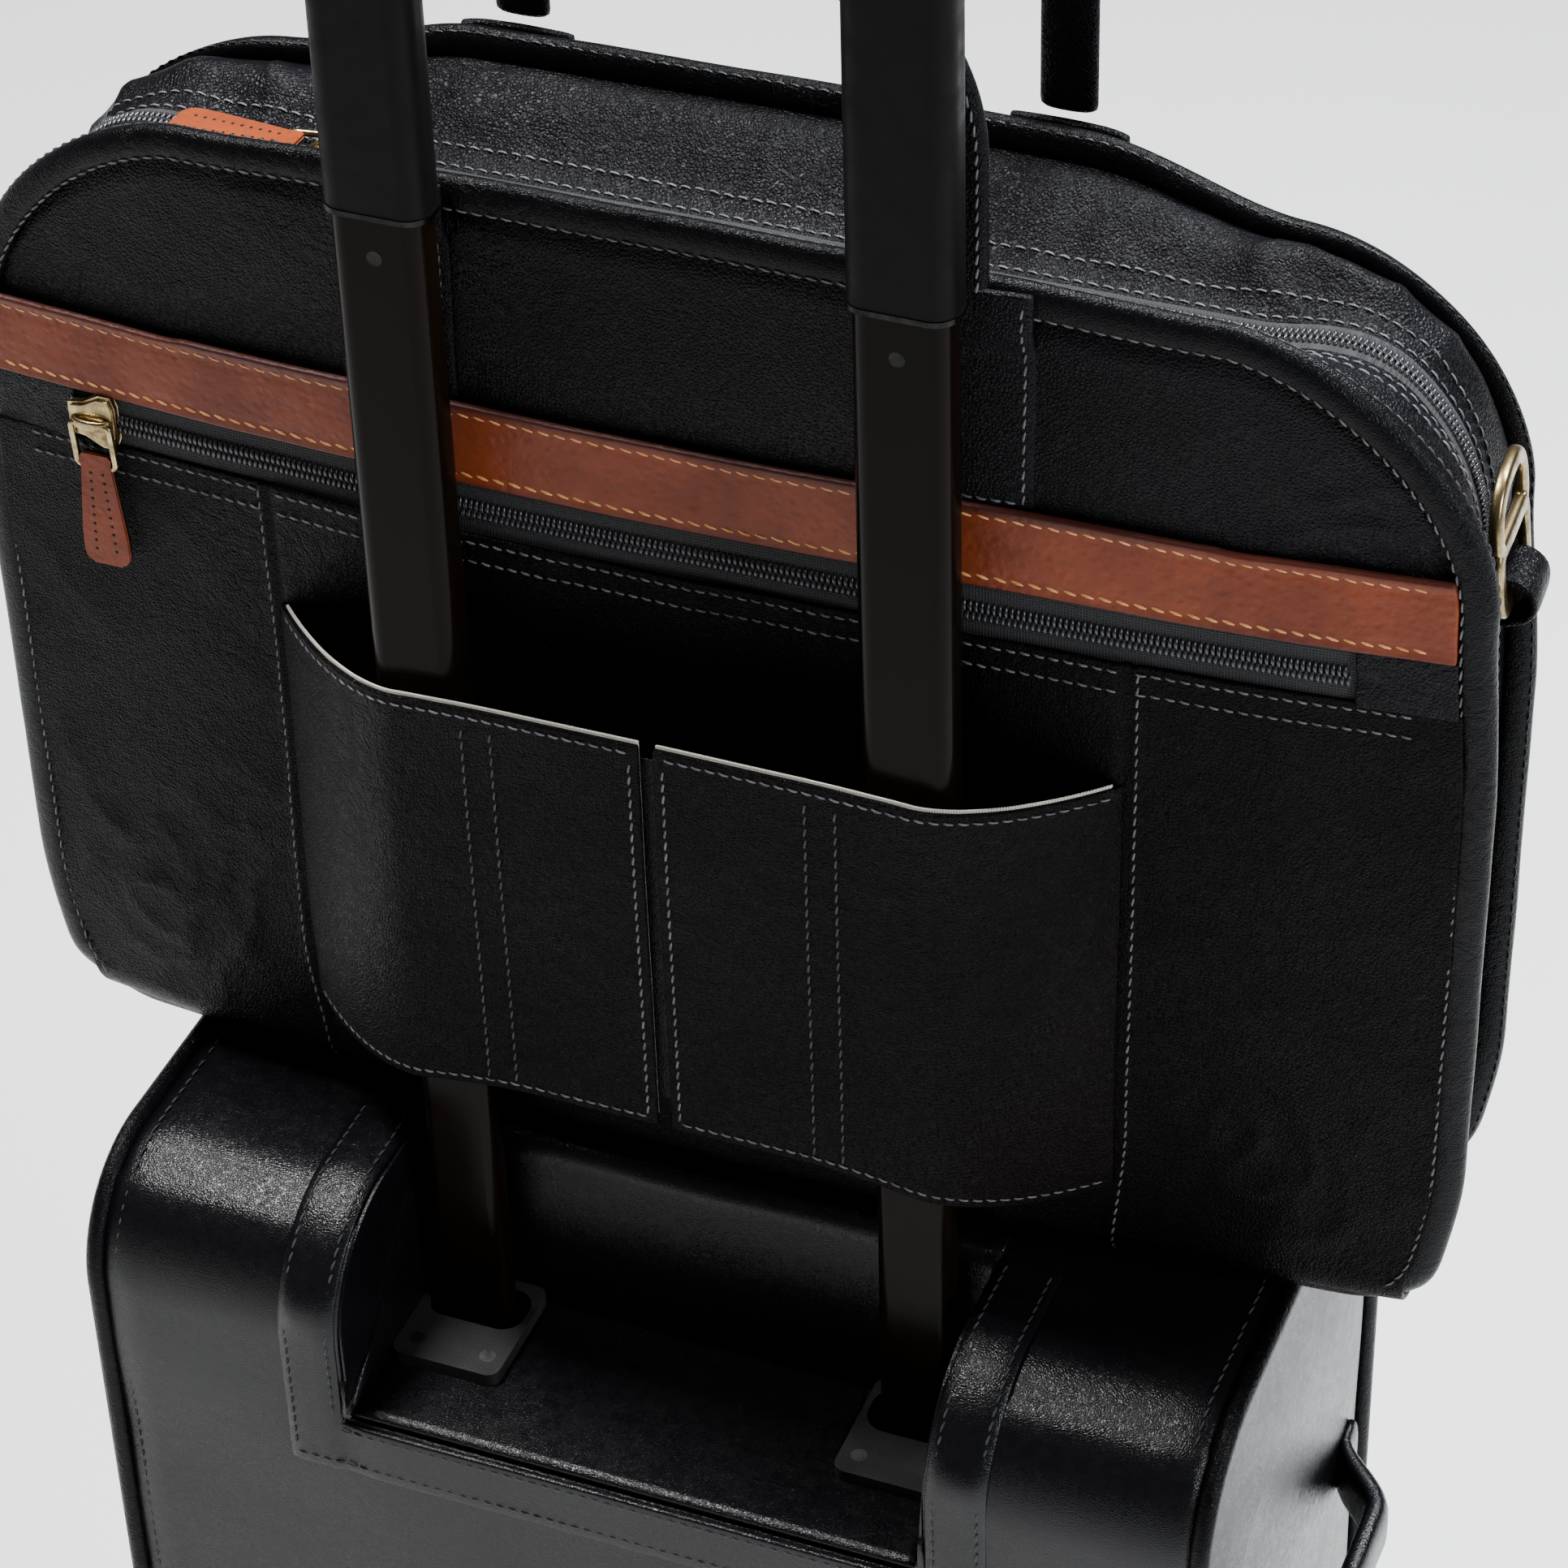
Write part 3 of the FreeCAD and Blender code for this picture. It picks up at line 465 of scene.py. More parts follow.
BAG_LEATHER = leather("bag_leather", (0.0016, 0.0015, 0.0022), (0.0034, 0.0032, 0.0045))
# pocket_leather is the bag leather again, darker and less shiny: painted shade on the rear pocket and the
# sleeve flaps
SHADED_BAG_LEATHER = leather("pocket_leather", (0.0019, 0.0011, 0.0013), (0.0036, 0.0023, 0.0027), shine=0.05)
CASE_LEATHER = leather("case_leather", (0.0018, 0.0018, 0.0024), (0.0040, 0.0040, 0.0052), rough=(0.20, 0.34),
                       grain=1300.0, grain_depth=0.00005, crease_scale=50.0, crease_depth=0.000035, shine=0.26)
EDGE_LEATHER = leather("edge_leather", (0.0016, 0.0016, 0.0020), (0.0034, 0.0034, 0.0042), rough=(0.26, 0.38),
                       grain=1100.0, grain_depth=0.00008, crease_scale=140.0, crease_depth=0.00016)
STRIPE_LEATHER = tan_leather("stripe_leather", STRIPE_LOW, STRIPE_HIGH)
PULL_LEATHER = tan_leather("pull_leather")
TAN_THREAD = thread("tan_thread", (0.60, 0.24, 0.065), (0.85, 0.43, 0.15))
GREY_THREAD = thread("grey_thread", (0.045, 0.045, 0.050), (0.140, 0.140, 0.150))
DARK_THREAD = thread("dark_thread", (0.007, 0.007, 0.009), (0.034, 0.034, 0.038))
CREAM_LINING = woven("cream_lining", (0.48, 0.44, 0.37), (0.74, 0.70, 0.62), pitch=0.0007, rough=0.85)
TAPE = woven("zip_tape", (0.003, 0.003, 0.004), (0.010, 0.010, 0.012), pitch=0.0009, depth=0.0004)
LINING = woven("lining", (0.030, 0.029, 0.028), (0.075, 0.072, 0.068), pitch=0.0012)
COIL = moulded("coil_nylon", (0.016, 0.016, 0.018), (0.034, 0.034, 0.038), rough=0.14, depth=0.00001)
BRASS = metal("antique_brass", (0.15, 0.105, 0.045), (0.50, 0.39, 0.21), rough=(0.2, 0.36))
STEEL = metal("plated_steel", (0.20, 0.20, 0.205), (0.38, 0.38, 0.39))
PIN_STEEL = metal("blackened_pin", (0.008, 0.008, 0.008), (0.024, 0.023, 0.022))
# The lower tubes are black gloss paint; their brown tone, stretched into upright streaks, is a painted
# reflection of a warm surround
BROWN_REFLECTION_TUBE = paint("gloss_tube", (0.0026, 0.0014, 0.0007), (0.0056, 0.0030, 0.0013), 0.16, shine=0.055)
MATT_TUBE = paint("matt_tube", (0.0022, 0.0021, 0.0022), (0.0042, 0.0040, 0.0040), 0.36, flake=0.05,
                  depth=0.00003, shine=0.07)
PLASTIC = moulded("black_plastic", (0.006, 0.006, 0.0065), (0.012, 0.012, 0.0125))
NYLON = moulded("hub_nylon", (0.028, 0.028, 0.031), (0.05, 0.05, 0.054), rough=0.38)
TYRE = moulded("tyre_rubber", (0.008, 0.008, 0.008), (0.02, 0.02, 0.021), rough=0.62, scale=700.0)
RUBBER = moulded("foot_rubber", (0.009, 0.009, 0.009), (0.022, 0.022, 0.022), rough=0.7, scale=800.0)


def dress(material, *names):
    """Give CAD nodes that keep their own shape a material."""
    for name in names:
        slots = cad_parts[name].data.materials
        if slots:
            for number in range(len(slots)):
                slots[number] = material
        else:
            slots.append(material)


# ------------------------------------------------------------------ the bag's shape
def taper(z):
    """The bag narrows a little towards its bottom."""
    return 1 - 0.035 * smooth((BAG_LOW[2] + 62 * MM - z) / (62 * MM))


def outline(inset, spacing=5 * MM):
    """Points (x, z) with outward normals round the bag, from the bottom's middle towards +X."""
    half, low, high = BAG_HALF - inset, BAG_LOW[2] + inset, BAG_HIGH[2] - inset
    big, small = TOP_RADIUS - inset, max(LOW_RADIUS - inset, 4 * MM)
    points = [(0.0, low, 0.0, -1.0)]
    for x, z, radius, start in ((half - small, low + small, small, -90), (half - big, high - big, big, 0),
                                (big - half, high - big, big, 90), (small - half, low + small, small, 180)):
        points += quarter(x, z, radius, start, start + 90, spacing)
    result = []
    for x, z, nx, nz in spread(points, spacing):
        size = math.hypot(nx, nz)
        result.append((x * taper(z), z, nx / size, nz / size))
    return result


def rear_y(x, z):
    """The bag's back: crowned across, and soft."""
    lean = 3.5 * MM * smooth((z - STRIPE_HIGH) / (BAG_HIGH[2] - STRIPE_HIGH)) * (1 - abs(x) / BAG_HALF)
    return (BACK_Y + CROWN * (abs(x) / PANEL_HALF) ** 2.1 + lean + 1.0 * MM * ripple((x, 0, z), 0.11, 3)
            + 0.35 * MM * ripple((x, 0, z), 0.035, 5))


def front_y(x, z):
    """The bag's front, crowned like its back."""
    return FRONT_Y - 7 * MM * (abs(x) / PANEL_HALF) ** 2.1 + 1.2 * MM * ripple((x, 0.3, z), 0.09, 8)


def panel_high(x, inset):
    """The top of the outline at x."""
    big = TOP_RADIUS - inset
    past = min(max(abs(x) - (BAG_HALF - inset - big), 0), big)
    return BAG_HIGH[2] - inset - big + math.sqrt(big ** 2 - past ** 2)


PANEL_INSET = 8 * MM


def bag_back_panel():
    """Upper leather of the back, from behind the stripe to the bound edge."""
    half = BAG_HALF - PANEL_INSET

    def point(u, v):
        x = (2 * u - 1) * half
        low = STRIPE_LOW - 20 * MM
        z = low + (panel_high(x, PANEL_INSET) - low) * v
        y = rear_y(x, z) - 0.9 * MM * folds((x * 0.6, 0, z), 0.045, 2) * bump(abs(x), 150 * MM, 60 * MM)
        y -= 1.3 * MM * folds((x, 0.1, z * 1.5), 0.022, 9) * bump(x, 190 * MM, 26 * MM) * bump(z, 0.655, 0.02)
        edge = min(half - abs(x), panel_high(x, PANEL_INSET) - z)
        return Vector((x * taper(z), y + 1.8 * MM * (1 - smooth(edge / (9 * MM))), z))

    piece = sheet_piece("back_upper_panel", 171, 61, point, BAG_LEATHER, BAG, 2 * MM)
    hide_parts("back_panel")


ROLL = 17 * MM                                   # radius of the soft roll under the bag
ROLLED = ROLL * math.pi / 2                      # length of leather that rolls under it
SEAM_X = SLEEVE_HIGH[0]                          # where the sleeve is sewn to the pocket


def pocket_y(x, z):
    """Outer face of the rear pocket, with its two vertical seams."""
    out = 2.7 * MM - 0.9 * MM * smooth((abs(x) - SEAM_X) / (5 * MM))
    out -= 1.3 * MM * bump(abs(x), SEAM_X, 1.1 * MM)
    slack = bump(z, POCKET_HIGH, 26 * MM) * (0.8 + 1.2 * ripple((x, 0, 0), 0.06, 4)) * MM
    belly = 3.0 * MM * bump(z, BAG_LOW[2] + 75 * MM, 55 * MM) * (1 - (abs(x) / PANEL_HALF) ** 4)
    return rear_y(x, z) - out - belly - slack


def rolled_under(top, run):
    """The height a distance run below a pocket's top edge, and how far it has rolled under the bag."""
    straight = top - (BAG_LOW[2] + ROLL)
    if run <= straight:
        return top - run, 0.0
    angle = min((run - straight) / ROLL, math.pi / 2)
    return BAG_LOW[2] + ROLL - ROLL * math.sin(angle), ROLL * (1 - math.cos(angle))


def pocket_point(x, run):
    """A point on the rear pocket a distance run below its top edge."""
    z, under = rolled_under(POCKET_HIGH, run)
    return Vector((x * taper(z), pocket_y(x, max(z, BAG_LOW[2] + ROLL)) + under, z))


def pocket_skin(x, run):
    """The pocket's leather with its creases."""
    spot = pocket_point(x, run)
    corner = bump(abs(x), 175 * MM, 34 * MM) * bump(spot.z, BAG_LOW[2] + 55 * MM, 36 * MM)
    crease = folds((x, 0, spot.z), 0.05, 6) * 0.7 * MM
    return spot + BACKWARD * (crease + corner * folds((x * 1.3, 0, spot.z * 0.8), 0.017, 12) * 1.5 * MM)


def pocket_normal(spot):
    height = (spot.z - BAG_LOW[2]) / ROLL
    if height >= 1:
        return BACKWARD
    angle = math.acos(max(0.0, min(1.0, height)))
    return Vector((0, -math.cos(angle), -math.sin(angle)))


def bag_rear_pocket():
    """The pocket across the back, rolled under the bag, with its stitches."""
    half = BAG_HALF - PANEL_INSET
    reach = POCKET_HIGH - BAG_LOW[2] - ROLL + ROLLED

    def point(u, v):
        return pocket_skin((2 * u - 1) * half, reach * (1 - v))

    # the pocket wears the darker, less shiny copy of the bag leather: painted shade
    piece = sheet_piece("rear_pocket_leather", 221, 121, point, SHADED_BAG_LEATHER, BAG, 1.9 * MM)
    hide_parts("rear_pocket")
    for row, drop in enumerate((2.6 * MM, 9.2 * MM)):
        for side, (low, high) in {"left": (-210, -131), "middle": (-127, 127), "right": (131, 210)}.items():
            path = [pocket_skin(x * MM, drop) for x in range(low, high + 1, 2)]
            stitch_row(f"pocket_stitches_{side}_{row}", path, BACKWARD, GREY_THREAD, BAG,
                       pitch=4.1 * MM, radius=0.4 * MM)
    for side in (-1, 1):
        path = [pocket_skin(side * (SEAM_X + 3.2 * MM), run * MM) for run in range(2, 228, 2)]
        stitch_row(f"seam_stitches_{side + 2}", path, pocket_normal, GREY_THREAD, BAG,
                   pitch=4.1 * MM, radius=0.38 * MM)


def bag_stripe():
    """The tan band with its raised, burnished edges and two rows of light thread."""
    rows = 15

    def point(u, v):
        x = (2 * u - 1) * (PANEL_HALF + 6.5 * MM)
        z = STRIPE_LOW + (STRIPE_HIGH - STRIPE_LOW) * v
        z += 0.5 * MM * ripple((x, 0, 0), 0.06, 21)
        swell = 0.7 * MM * (bump(v, 1.0, 0.08) + 0.4 * bump(v, 0.0, 0.08)) - 0.35 * MM * (
            bump(v, 0.89, 0.04) + bump(v, 0.115, 0.04))
        return Vector((x, rear_y(x, z) - 2.9 * MM - swell - 0.3 * MM * folds((x, 0, z), 0.05, 31), z))

    piece = sheet_piece("tan_stripe", 181, rows, point, STRIPE_LEATHER, BAG, 2.4 * MM)
    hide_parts("accent_stripe")
    for name, v in (("top", 0.885), ("foot", 0.12)):
        path = [point(u / 160, v) for u in range(1, 160)]
        stitch_row("stripe_stitches_" + name, path, BACKWARD, TAN_THREAD, BAG,
                   pitch=4.9 * MM, radius=0.5 * MM, tilt=0.24, fill=0.97)


# ------------------------------------------------------------------ zips
def face_line(face_y, z, rise, reach=208):
    """A line across a face of the bag at height z, rise further along y."""
    return [Vector((x * MM, face_y(x * MM, z) + rise, z)) for x in range(-reach, reach + 1, 4)]


def coil_piece(name, path, normal, body):
    """A closed nylon coil: two rows of bowed loops that meet in the middle."""
    width, pitch, loop_radius, bow = 6.8 * MM, 1.7 * MM, 0.62 * MM, 0.9 * MM
    verts, faces = [], []
    spots = resample(path, pitch / 2)
    for number, (a, b) in enumerate(zip(spots, spots[1:])):
        up = normal(a) if callable(normal) else normal
        along = (b - a).normalized()
        side = along.cross(up).normalized() * (1 if number % 2 else -1)
        base = a + up * (0.5 * MM)
        start, end = base + side * (width / 2), base - side * (width * 0.09) + along * (0.25 * MM)
        rings = [(start.lerp(end, t) + up * (bow * (1 - (2 * t - 1) ** 2)), loop_radius * size)
                 for t, size in ((0.0, 0.35), (0.12, 0.9), (0.5, 1.0), (0.88, 0.9), (1.0, 0.35))]
        add_bar(verts, faces, rings, (end - start).normalized().cross(up).normalized(), up)
    return new_mesh(name, verts, faces, COIL, body)


def zip_line(name, path, normal, across, width, body, node, coil_path=None):
    """A zip, in place of a CAD tape: a woven tape along a path, and its coil."""
    def point(u, v):
        return Vector(between(path, u)) + across * (width * (v - 0.5))
    tape = sheet_piece(name + "_tape", max(len(path), 60), 9, point, TAPE, body, 0.8 * MM, 0.0)
    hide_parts(node)
    coil_piece(name + "_coil", coil_path or path, normal, body)


def rear_zip():
    """The back's zip, its ends tucked under leather."""
    middle = (ZIP_LOW + ZIP_HIGH) / 2 - 0.8 * MM
    path = face_line(rear_y, middle, -1.0 * MM)
    zip_line("rear_zip", path, BACKWARD, UP, ZIP_HIGH - ZIP_LOW + 3 * MM,
             BAG, "rear_zip", [spot for spot in path if -196 * MM < spot.x < 194 * MM])
    for side, low, high in (("left", -221, -193), ("right", 192.6, 221)):
        def point(u, v, low=low, high=high):
            x = (low + (high - low) * u) * MM
            z = ZIP_LOW - 2 * MM + (ZIP_HIGH - ZIP_LOW + 3 * MM) * v
            rise = 2.9 * MM - 1.1 * MM * bump(z, middle, 3 * MM) * bump(abs(x), 190 * MM, 9 * MM)
            return Vector((x, rear_y(x, z) - rise, z))
        sheet_piece("zip_end_" + side, 15, 13, point, BAG_LEATHER, BAG, 1.6 * MM)


# ------------------------------------------------------------------ bound edges
def bound_edge(name, face_y, out_sign, node):
    """The fat rolled binding round a face, with stitches on its face side and its gusset side."""
    out, half = Vector((0, out_sign, 0)), 5.4 * MM
    path = []
    for x, z, nx, nz in outline(5.3 * MM):
        under = smooth((BAG_LOW[2] + 22 * MM - z) / (16 * MM))
        y = face_y(x, z) - out_sign * (1.6 * MM + 6 * MM * under)
        wobble = 0.25 * MM * ripple((x, 0, z), 0.03, 40)
        path.append(Vector((x + nx * wobble, y, z + nz * wobble)))

    def section(t):
        grow = 1 + 0.05 * ripple((t * 3, 0, 0), 0.05, 44)
        ring = oval(half, 3.7 * MM, 2.3, 18)
        return [(a * grow, b * grow * (1 + 0.16 * a / half * out_sign)) for a, b in ring]
    piece = sweep_piece(name, path, [out] * len(path), section, EDGE_LEATHER, BAG, closed=True)
    add_smoothing(piece)
    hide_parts(node)

    def row(inset, lift):
        return [Vector((x, face_y(x, z) + out_sign * lift, z)) for x, z, _, _ in outline(inset)
                if z > BAG_LOW[2] + 12.5 * MM]
    for part, path, normal, material in (
            ("face", row(8.8 * MM, 1.8 * MM), out, GREY_THREAD),
            ("rim", row(1.0 * MM, -3.6 * MM),
             lambda p: Vector((p.x / BAG_HALF, 0, (p.z - 0.55) / 0.16)).normalized(), DARK_THREAD)):
        stitch_row(f"{name}_{part}_stitches", path, normal, material, BAG, pitch=4.4 * MM, radius=0.38 * MM)


# ------------------------------------------------------------------ gusset, top bands and main zip
SPLIT_Z = MAIN_ZIP_LOW[2]                        # the bands end and the gusset starts here
FACE_GAP = 4.5 * MM                              # from a face of the bag to the edge of a band
ZIP_MIDDLE_Y = (MAIN_ZIP_LOW[1] + MAIN_ZIP_HIGH[1]) / 2
BAND_SUNK = 8.5 * MM                             # how far a band lies inside the outline at its binding
ZIP_SUNK, ZIP_SAG = 14.2 * MM, 11.6 * MM         # how far the zip does at its ends, and how much more between


def zip_depth(x):
    """How far the main zip lies inside the outline: it sags between the top's two ends."""
    return ZIP_SUNK + ZIP_SAG * (1 - smooth((abs(x) - 150 * MM) / (55 * MM)))


def band_depth(t, x):
    """How far inside the outline the top band is: t is 0 at a binding and 1 at the zip."""
    return BAND_SUNK + (zip_depth(x) - BAND_SUNK) * smooth(t)


def ring_spot(p, inset, y):
    x, z, nx, nz = p
    return Vector((x - nx * inset, y, z - nz * inset))


def band_piece(name, near_y, far_y, seed, node, stitch_from_zip, wrinkle):
    """One top band from its binding at near_y(x, z) to the zip's edge at far_y."""
    line = [p for p in outline(0) if p[1] > SPLIT_Z - 4 * MM]

    def point(u, v, extra=0.0):
        p = between(line, u)
        edge = near_y(p[0], p[1])
        y = edge + (far_y - edge) * v
        spot = ring_spot(p, band_depth(v, p[0]), y)
        corner = bump(abs(spot.x), 170 * MM, 60 * MM)
        pleat = folds((spot.x, spot.y * 0.35, spot.z), 0.021, seed) * wrinkle * (0.35 + corner)
        soft = 1.1 * MM * ripple((spot.x, spot.y, spot.z), 0.05, seed + 2)
        out = (pleat + soft) * math.sin(math.pi * min(max(v, 0.03), 0.97)) + extra
        return spot + Vector((p[2], 0, p[3])) * out

    piece = sheet_piece(name, len(line) * 2, 19, point, BAG_LEATHER, BAG, 1.8 * MM,
                        1.0 if near_y(0, 0) < far_y else -1.0)
    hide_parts(node)
    width = abs(far_y - near_y(0, BAG_HIGH[2]))
    for row, gap in enumerate(stitch_from_zip):
        path = [point(u / 300, 1 - gap / width, 0.2 * MM) for u in range(3, 298)]
        stitch_row(f"{name}_stitches_{row}", path, top_normal, GREY_THREAD, BAG,
                   pitch=4.3 * MM, radius=0.4 * MM)


def top_normal(spot):
    """Outward normal of the bag's top and of its round corners."""
    past = abs(spot.x) - (BAG_HALF - TOP_RADIUS)
    if past <= 0:
        return UP
    rise = max(spot.z - (BAG_HIGH[2] - TOP_RADIUS), 0.0) + 1e-5
    return Vector((math.copysign(past, spot.x), 0, rise)).normalized()


def bag_top():
    """The two bands over the top with the main zip between them."""
    half_tape = 5.6 * MM
    band_piece("top_band_near", lambda x, z: rear_y(x, z) + FACE_GAP, ZIP_MIDDLE_Y - half_tape, 50,
               "top_band_rear", (4.0 * MM, 10.2 * MM), 0.5 * MM)
    band_piece("top_band_far", lambda x, z: front_y(x, z) - FACE_GAP, ZIP_MIDDLE_Y + half_tape, 60,
               "top_band_front", (2.2 * MM, 8.6 * MM), 2.6 * MM)
    line = [p for p in outline(0) if p[1] > SPLIT_Z + 2 * MM]
    path = [ring_spot(p, zip_depth(p[0]) + 0.4 * MM, ZIP_MIDDLE_Y) for p in line]
    zip_line("main_zip", path, top_normal, FORWARD, 15 * MM, BAG, "main_zip")


def bag_gusset():
    """Side and bottom gusset: one soft strip from the left split, under the bag, to the right."""
    ring = outline(0)
    half = len(ring) // 2
    line = [p for p in ring[half:] + ring[:half] if p[1] <= SPLIT_Z]

    def point(u, v):
        p = between(line, u)
        near, far = rear_y(p[0], p[1]) + FACE_GAP, front_y(p[0], p[1]) - FACE_GAP
        swell = math.sin(math.pi * v)
        sag = 5.5 * MM * swell * (1.0 if abs(p[2]) > 0.5 else 0.4)
        crease = 1.6 * MM * folds((p[0], v * 0.02, p[1]), 0.04, 71) * swell
        return ring_spot(p, 9 * MM + sag - crease, near + (far - near) * v)

    piece = sheet_piece("side_gusset", len(line) * 2, 21, point, BAG_LEATHER, BAG, 1.8 * MM, 1.0)
    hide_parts("gusset")


# ------------------------------------------------------------------ trolley sleeve
SLEEVE_OUT = SLEEVE_LOW[1] + 2.8 * MM            # outer face of the flaps over the tubes
SLEEVE_FALL = 79 * MM                            # where a flap starts to fall to its seam
SLEEVE_LEVEL = 40 * MM                           # where its edges stop running up


def sleeve_y(x, z):
    """Outer face of a sleeve flap: taut over the tubes, then an easy slope to the seam."""
    fall = max((abs(x) - SLEEVE_FALL) / (SEAM_X - SLEEVE_FALL), 0.0) ** 1.6
    seat = pocket_y(SEAM_X, z) - 1.5 * MM
    loose = 0.4 * MM * ripple((x, 0, z), 0.06, 90)
    return SLEEVE_OUT + loose + (seat - SLEEVE_OUT - loose) * fall


def sleeve_z(x, v):
    """A flap is shorter over the tubes than at its seam: its edges run up towards the middle."""
    rise = 1 - smooth((abs(x) - SLEEVE_LEVEL) / (SEAM_X - SLEEVE_LEVEL))
    low, high = SLEEVE_LOW[2] - 5 * MM + 10 * MM * rise, SLEEVE_HIGH[2] - 1.5 * MM + 3.5 * MM * rise
    return low + (high - low) * v


def sleeve_flap(side):
    """One flap of the sleeve: leather, two layers of pale lining that peep out on top, and stitches."""
    near, far = SLEEVE_LOW[0], SEAM_X
    name = "right" if side > 0 else "left"
    tall = SLEEVE_HIGH[2] - SLEEVE_LOW[2]

    def spot(x, v, back=0.0):
        z = sleeve_z(x, v)
        return Vector((side * x, sleeve_y(x, z) + back, z))

    # the flap wears the darker, less shiny copy of the bag leather: painted shade
    flap = sheet_piece("sleeve_flap_" + name, 61, 55, lambda u, v: spot(near + (far - near) * u, v),
                       SHADED_BAG_LEATHER, BAG, 1.7 * MM, -side)
    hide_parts("sleeve_" + name)
    for layer, (back, past) in enumerate(((1.75 * MM, 0.9 * MM), (2.5 * MM, 0.4 * MM))):
        def inner(u, v, back=back, past=past):
            return spot(near + 0.5 * MM + (far - 3.5 * MM - near) * u, 0.02 + (0.98 + past / tall) * v, back)
        sheet_piece(f"sleeve_lining_{name}_{layer}", 51, 13, inner, CREAM_LINING, BAG, 0.45 * MM, 0.0)
    across = steps(near + 3 * MM, far - 1 * MM)
    rows = {"top": [(x, 1 - 2.8 * MM / tall) for x in across], "foot": [(x, 3 * MM / tall) for x in across],
            "edge": [(near + 2.9 * MM, v / 40) for v in range(1, 40)]}
    for number, x in enumerate((47.5 * MM, 56.5 * MM)):
        rows[f"row_{number}"] = [(x, v / 40) for v in range(1, 40)]
    for row, spots in rows.items():
        stitch_row(f"sleeve_stitches_{name}_{row}", [spot(x, v, -0.1 * MM) for x, v in spots], BACKWARD,
                   DARK_THREAD if "row" in row else GREY_THREAD, BAG, pitch=4.1 * MM, radius=0.38 * MM)


def bag_sleeve():
    """The sleeve that drops over the trolley tubes: two flaps and the strip that joins them."""
    for side in (-1, 1):
        sleeve_flap(side)
    low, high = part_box("sleeve_bridge")

    def point(u, v):
        z = low[2] + 14 * MM + (high[2] - low[2] - 18 * MM) * v
        return Vector((low[0] * 0.7 * (1 - 2 * u), SLEEVE_OUT + 3.5 * MM, z))
    bridge = sheet_piece("sleeve_bridge_strip", 13, 31, point, EDGE_LEATHER, BAG, 0.9 * MM, 0.0)
    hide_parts("sleeve_bridge")


# ------------------------------------------------------------------ handle straps and grab handles
STRAP_LOW, STRAP_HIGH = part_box("handle_straps")
STRAP_X, STRAP_WIDE = 84 * MM, 36 * MM
STRAP_LIFTS = 688 * MM                           # height at which a strap climbs over the bound edge


def handle_strap(name, x_middle, face_y, out, z_low):
    """A strap that runs up a face of the bag and out over its bound edge."""
    high = STRAP_HIGH[2] + 1.0 * MM

    def point(u, v):
        z = z_low + (high - z_low) * u
        across = (v - 0.5) * STRAP_WIDE * (1 + 0.02 * ripple((z, 0, 0), 0.03, 5))
        edge = abs(2 * v - 1)
        puff = 0.9 * MM * (1 - edge ** 6) + 0.5 * MM * bump(edge, 0.0, 0.5)
        lift = 0.4 * MM + 3.6 * MM * smooth((z - STRAP_LIFTS) / (9 * MM))
        return Vector((x_middle + across, face_y(x_middle + across, z) + out * (lift + puff), z))

    piece = sheet_piece(name, 45, 15, point, BAG_LEATHER, BAG, 2.6 * MM, -out)
    rows = {0: [(u / 60, 0.085) for u in range(1, 60)], 1: [(u / 60, 0.915) for u in range(1, 60)],
            "foot": [(0.03, v / 20) for v in range(2, 19)]}
    for row, places in rows.items():
        path = [point(u, v) + Vector((0, out * 0.1 * MM, 0)) for u, v in places]
        stitch_row(f"{name}_stitches_{row}", path, Vector((0, out, 0)), GREY_THREAD, BAG,
                   pitch=4.0 * MM, radius=0.42 * MM)
    return piece


def bag_straps():
    first = None
    for side in (-1, 1):
        rear = handle_strap(f"rear_strap_{side + 2}", side * STRAP_X, lambda x, z: rear_y(x, z) - 0.2 * MM, -1,
                            STRIPE_HIGH + 0.6 * MM)
        handle_strap(f"front_strap_{side + 2}", side * STRAP_X, lambda x, z: front_y(x, z) + 0.2 * MM, 1,
                     STRAP_LOW[2])
        first = first or rear
    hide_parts("handle_straps")


def grab_handle(node, body, lean):
    """A padded leather arch: a flattened roll, stitched along both of its edges."""
    low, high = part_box(node)
    half, width, y = high[0], 18 * MM, (low[1] + high[1]) / 2
    radius = 60 * MM - width / 2
    x0, top = half - width / 2, high[2] - width / 2
    path = [Vector((x0, y, z)) for z in steps(low[2] + 0.4 * MM, top - radius, 3 * MM)]
    path += [Vector((x, y, z)) for x, z, _, _ in arc(x0 - radius, top - radius, radius, 0, 90, 16)[1:]]
    path += [Vector((x, y, top)) for x in steps(x0 - radius, 0, 3 * MM)][1:]
    path += [Vector((-p.x, p.y, p.z)) for p in reversed(path[:-1])]
    outwards, total = Vector((0, lean, 0)), len(path) - 1

    def section(t):
        ends = 1 - abs(2 * t - 1)
        fat = 1 + 0.55 * smooth((ends - 0.25) * 3)
        return oval(width / 2 - 0.4 * MM, 2.3 * MM * fat, 2.6, 20)
    piece = sweep_piece(node + "_arch", path, [outwards] * len(path), section, BAG_LEATHER, body)
    add_smoothing(piece)
    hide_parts(node)
    for row, side in enumerate((-1, 1)):
        rows = []
        for i, (spot, way) in enumerate(zip(path, ways(path))):
            across = way.normalized().cross(FORWARD)
            fat = 1 + 0.45 * smooth((0.75 - abs(2 * i / total - 1)) * 3)
            rows.append(spot + across * (side * 6.0 * MM) + outwards * (2.3 * MM * fat))
        stitch_row(f"{node}_stitches_{row}", rows, outwards, GREY_THREAD, body, pitch=4.2 * MM)


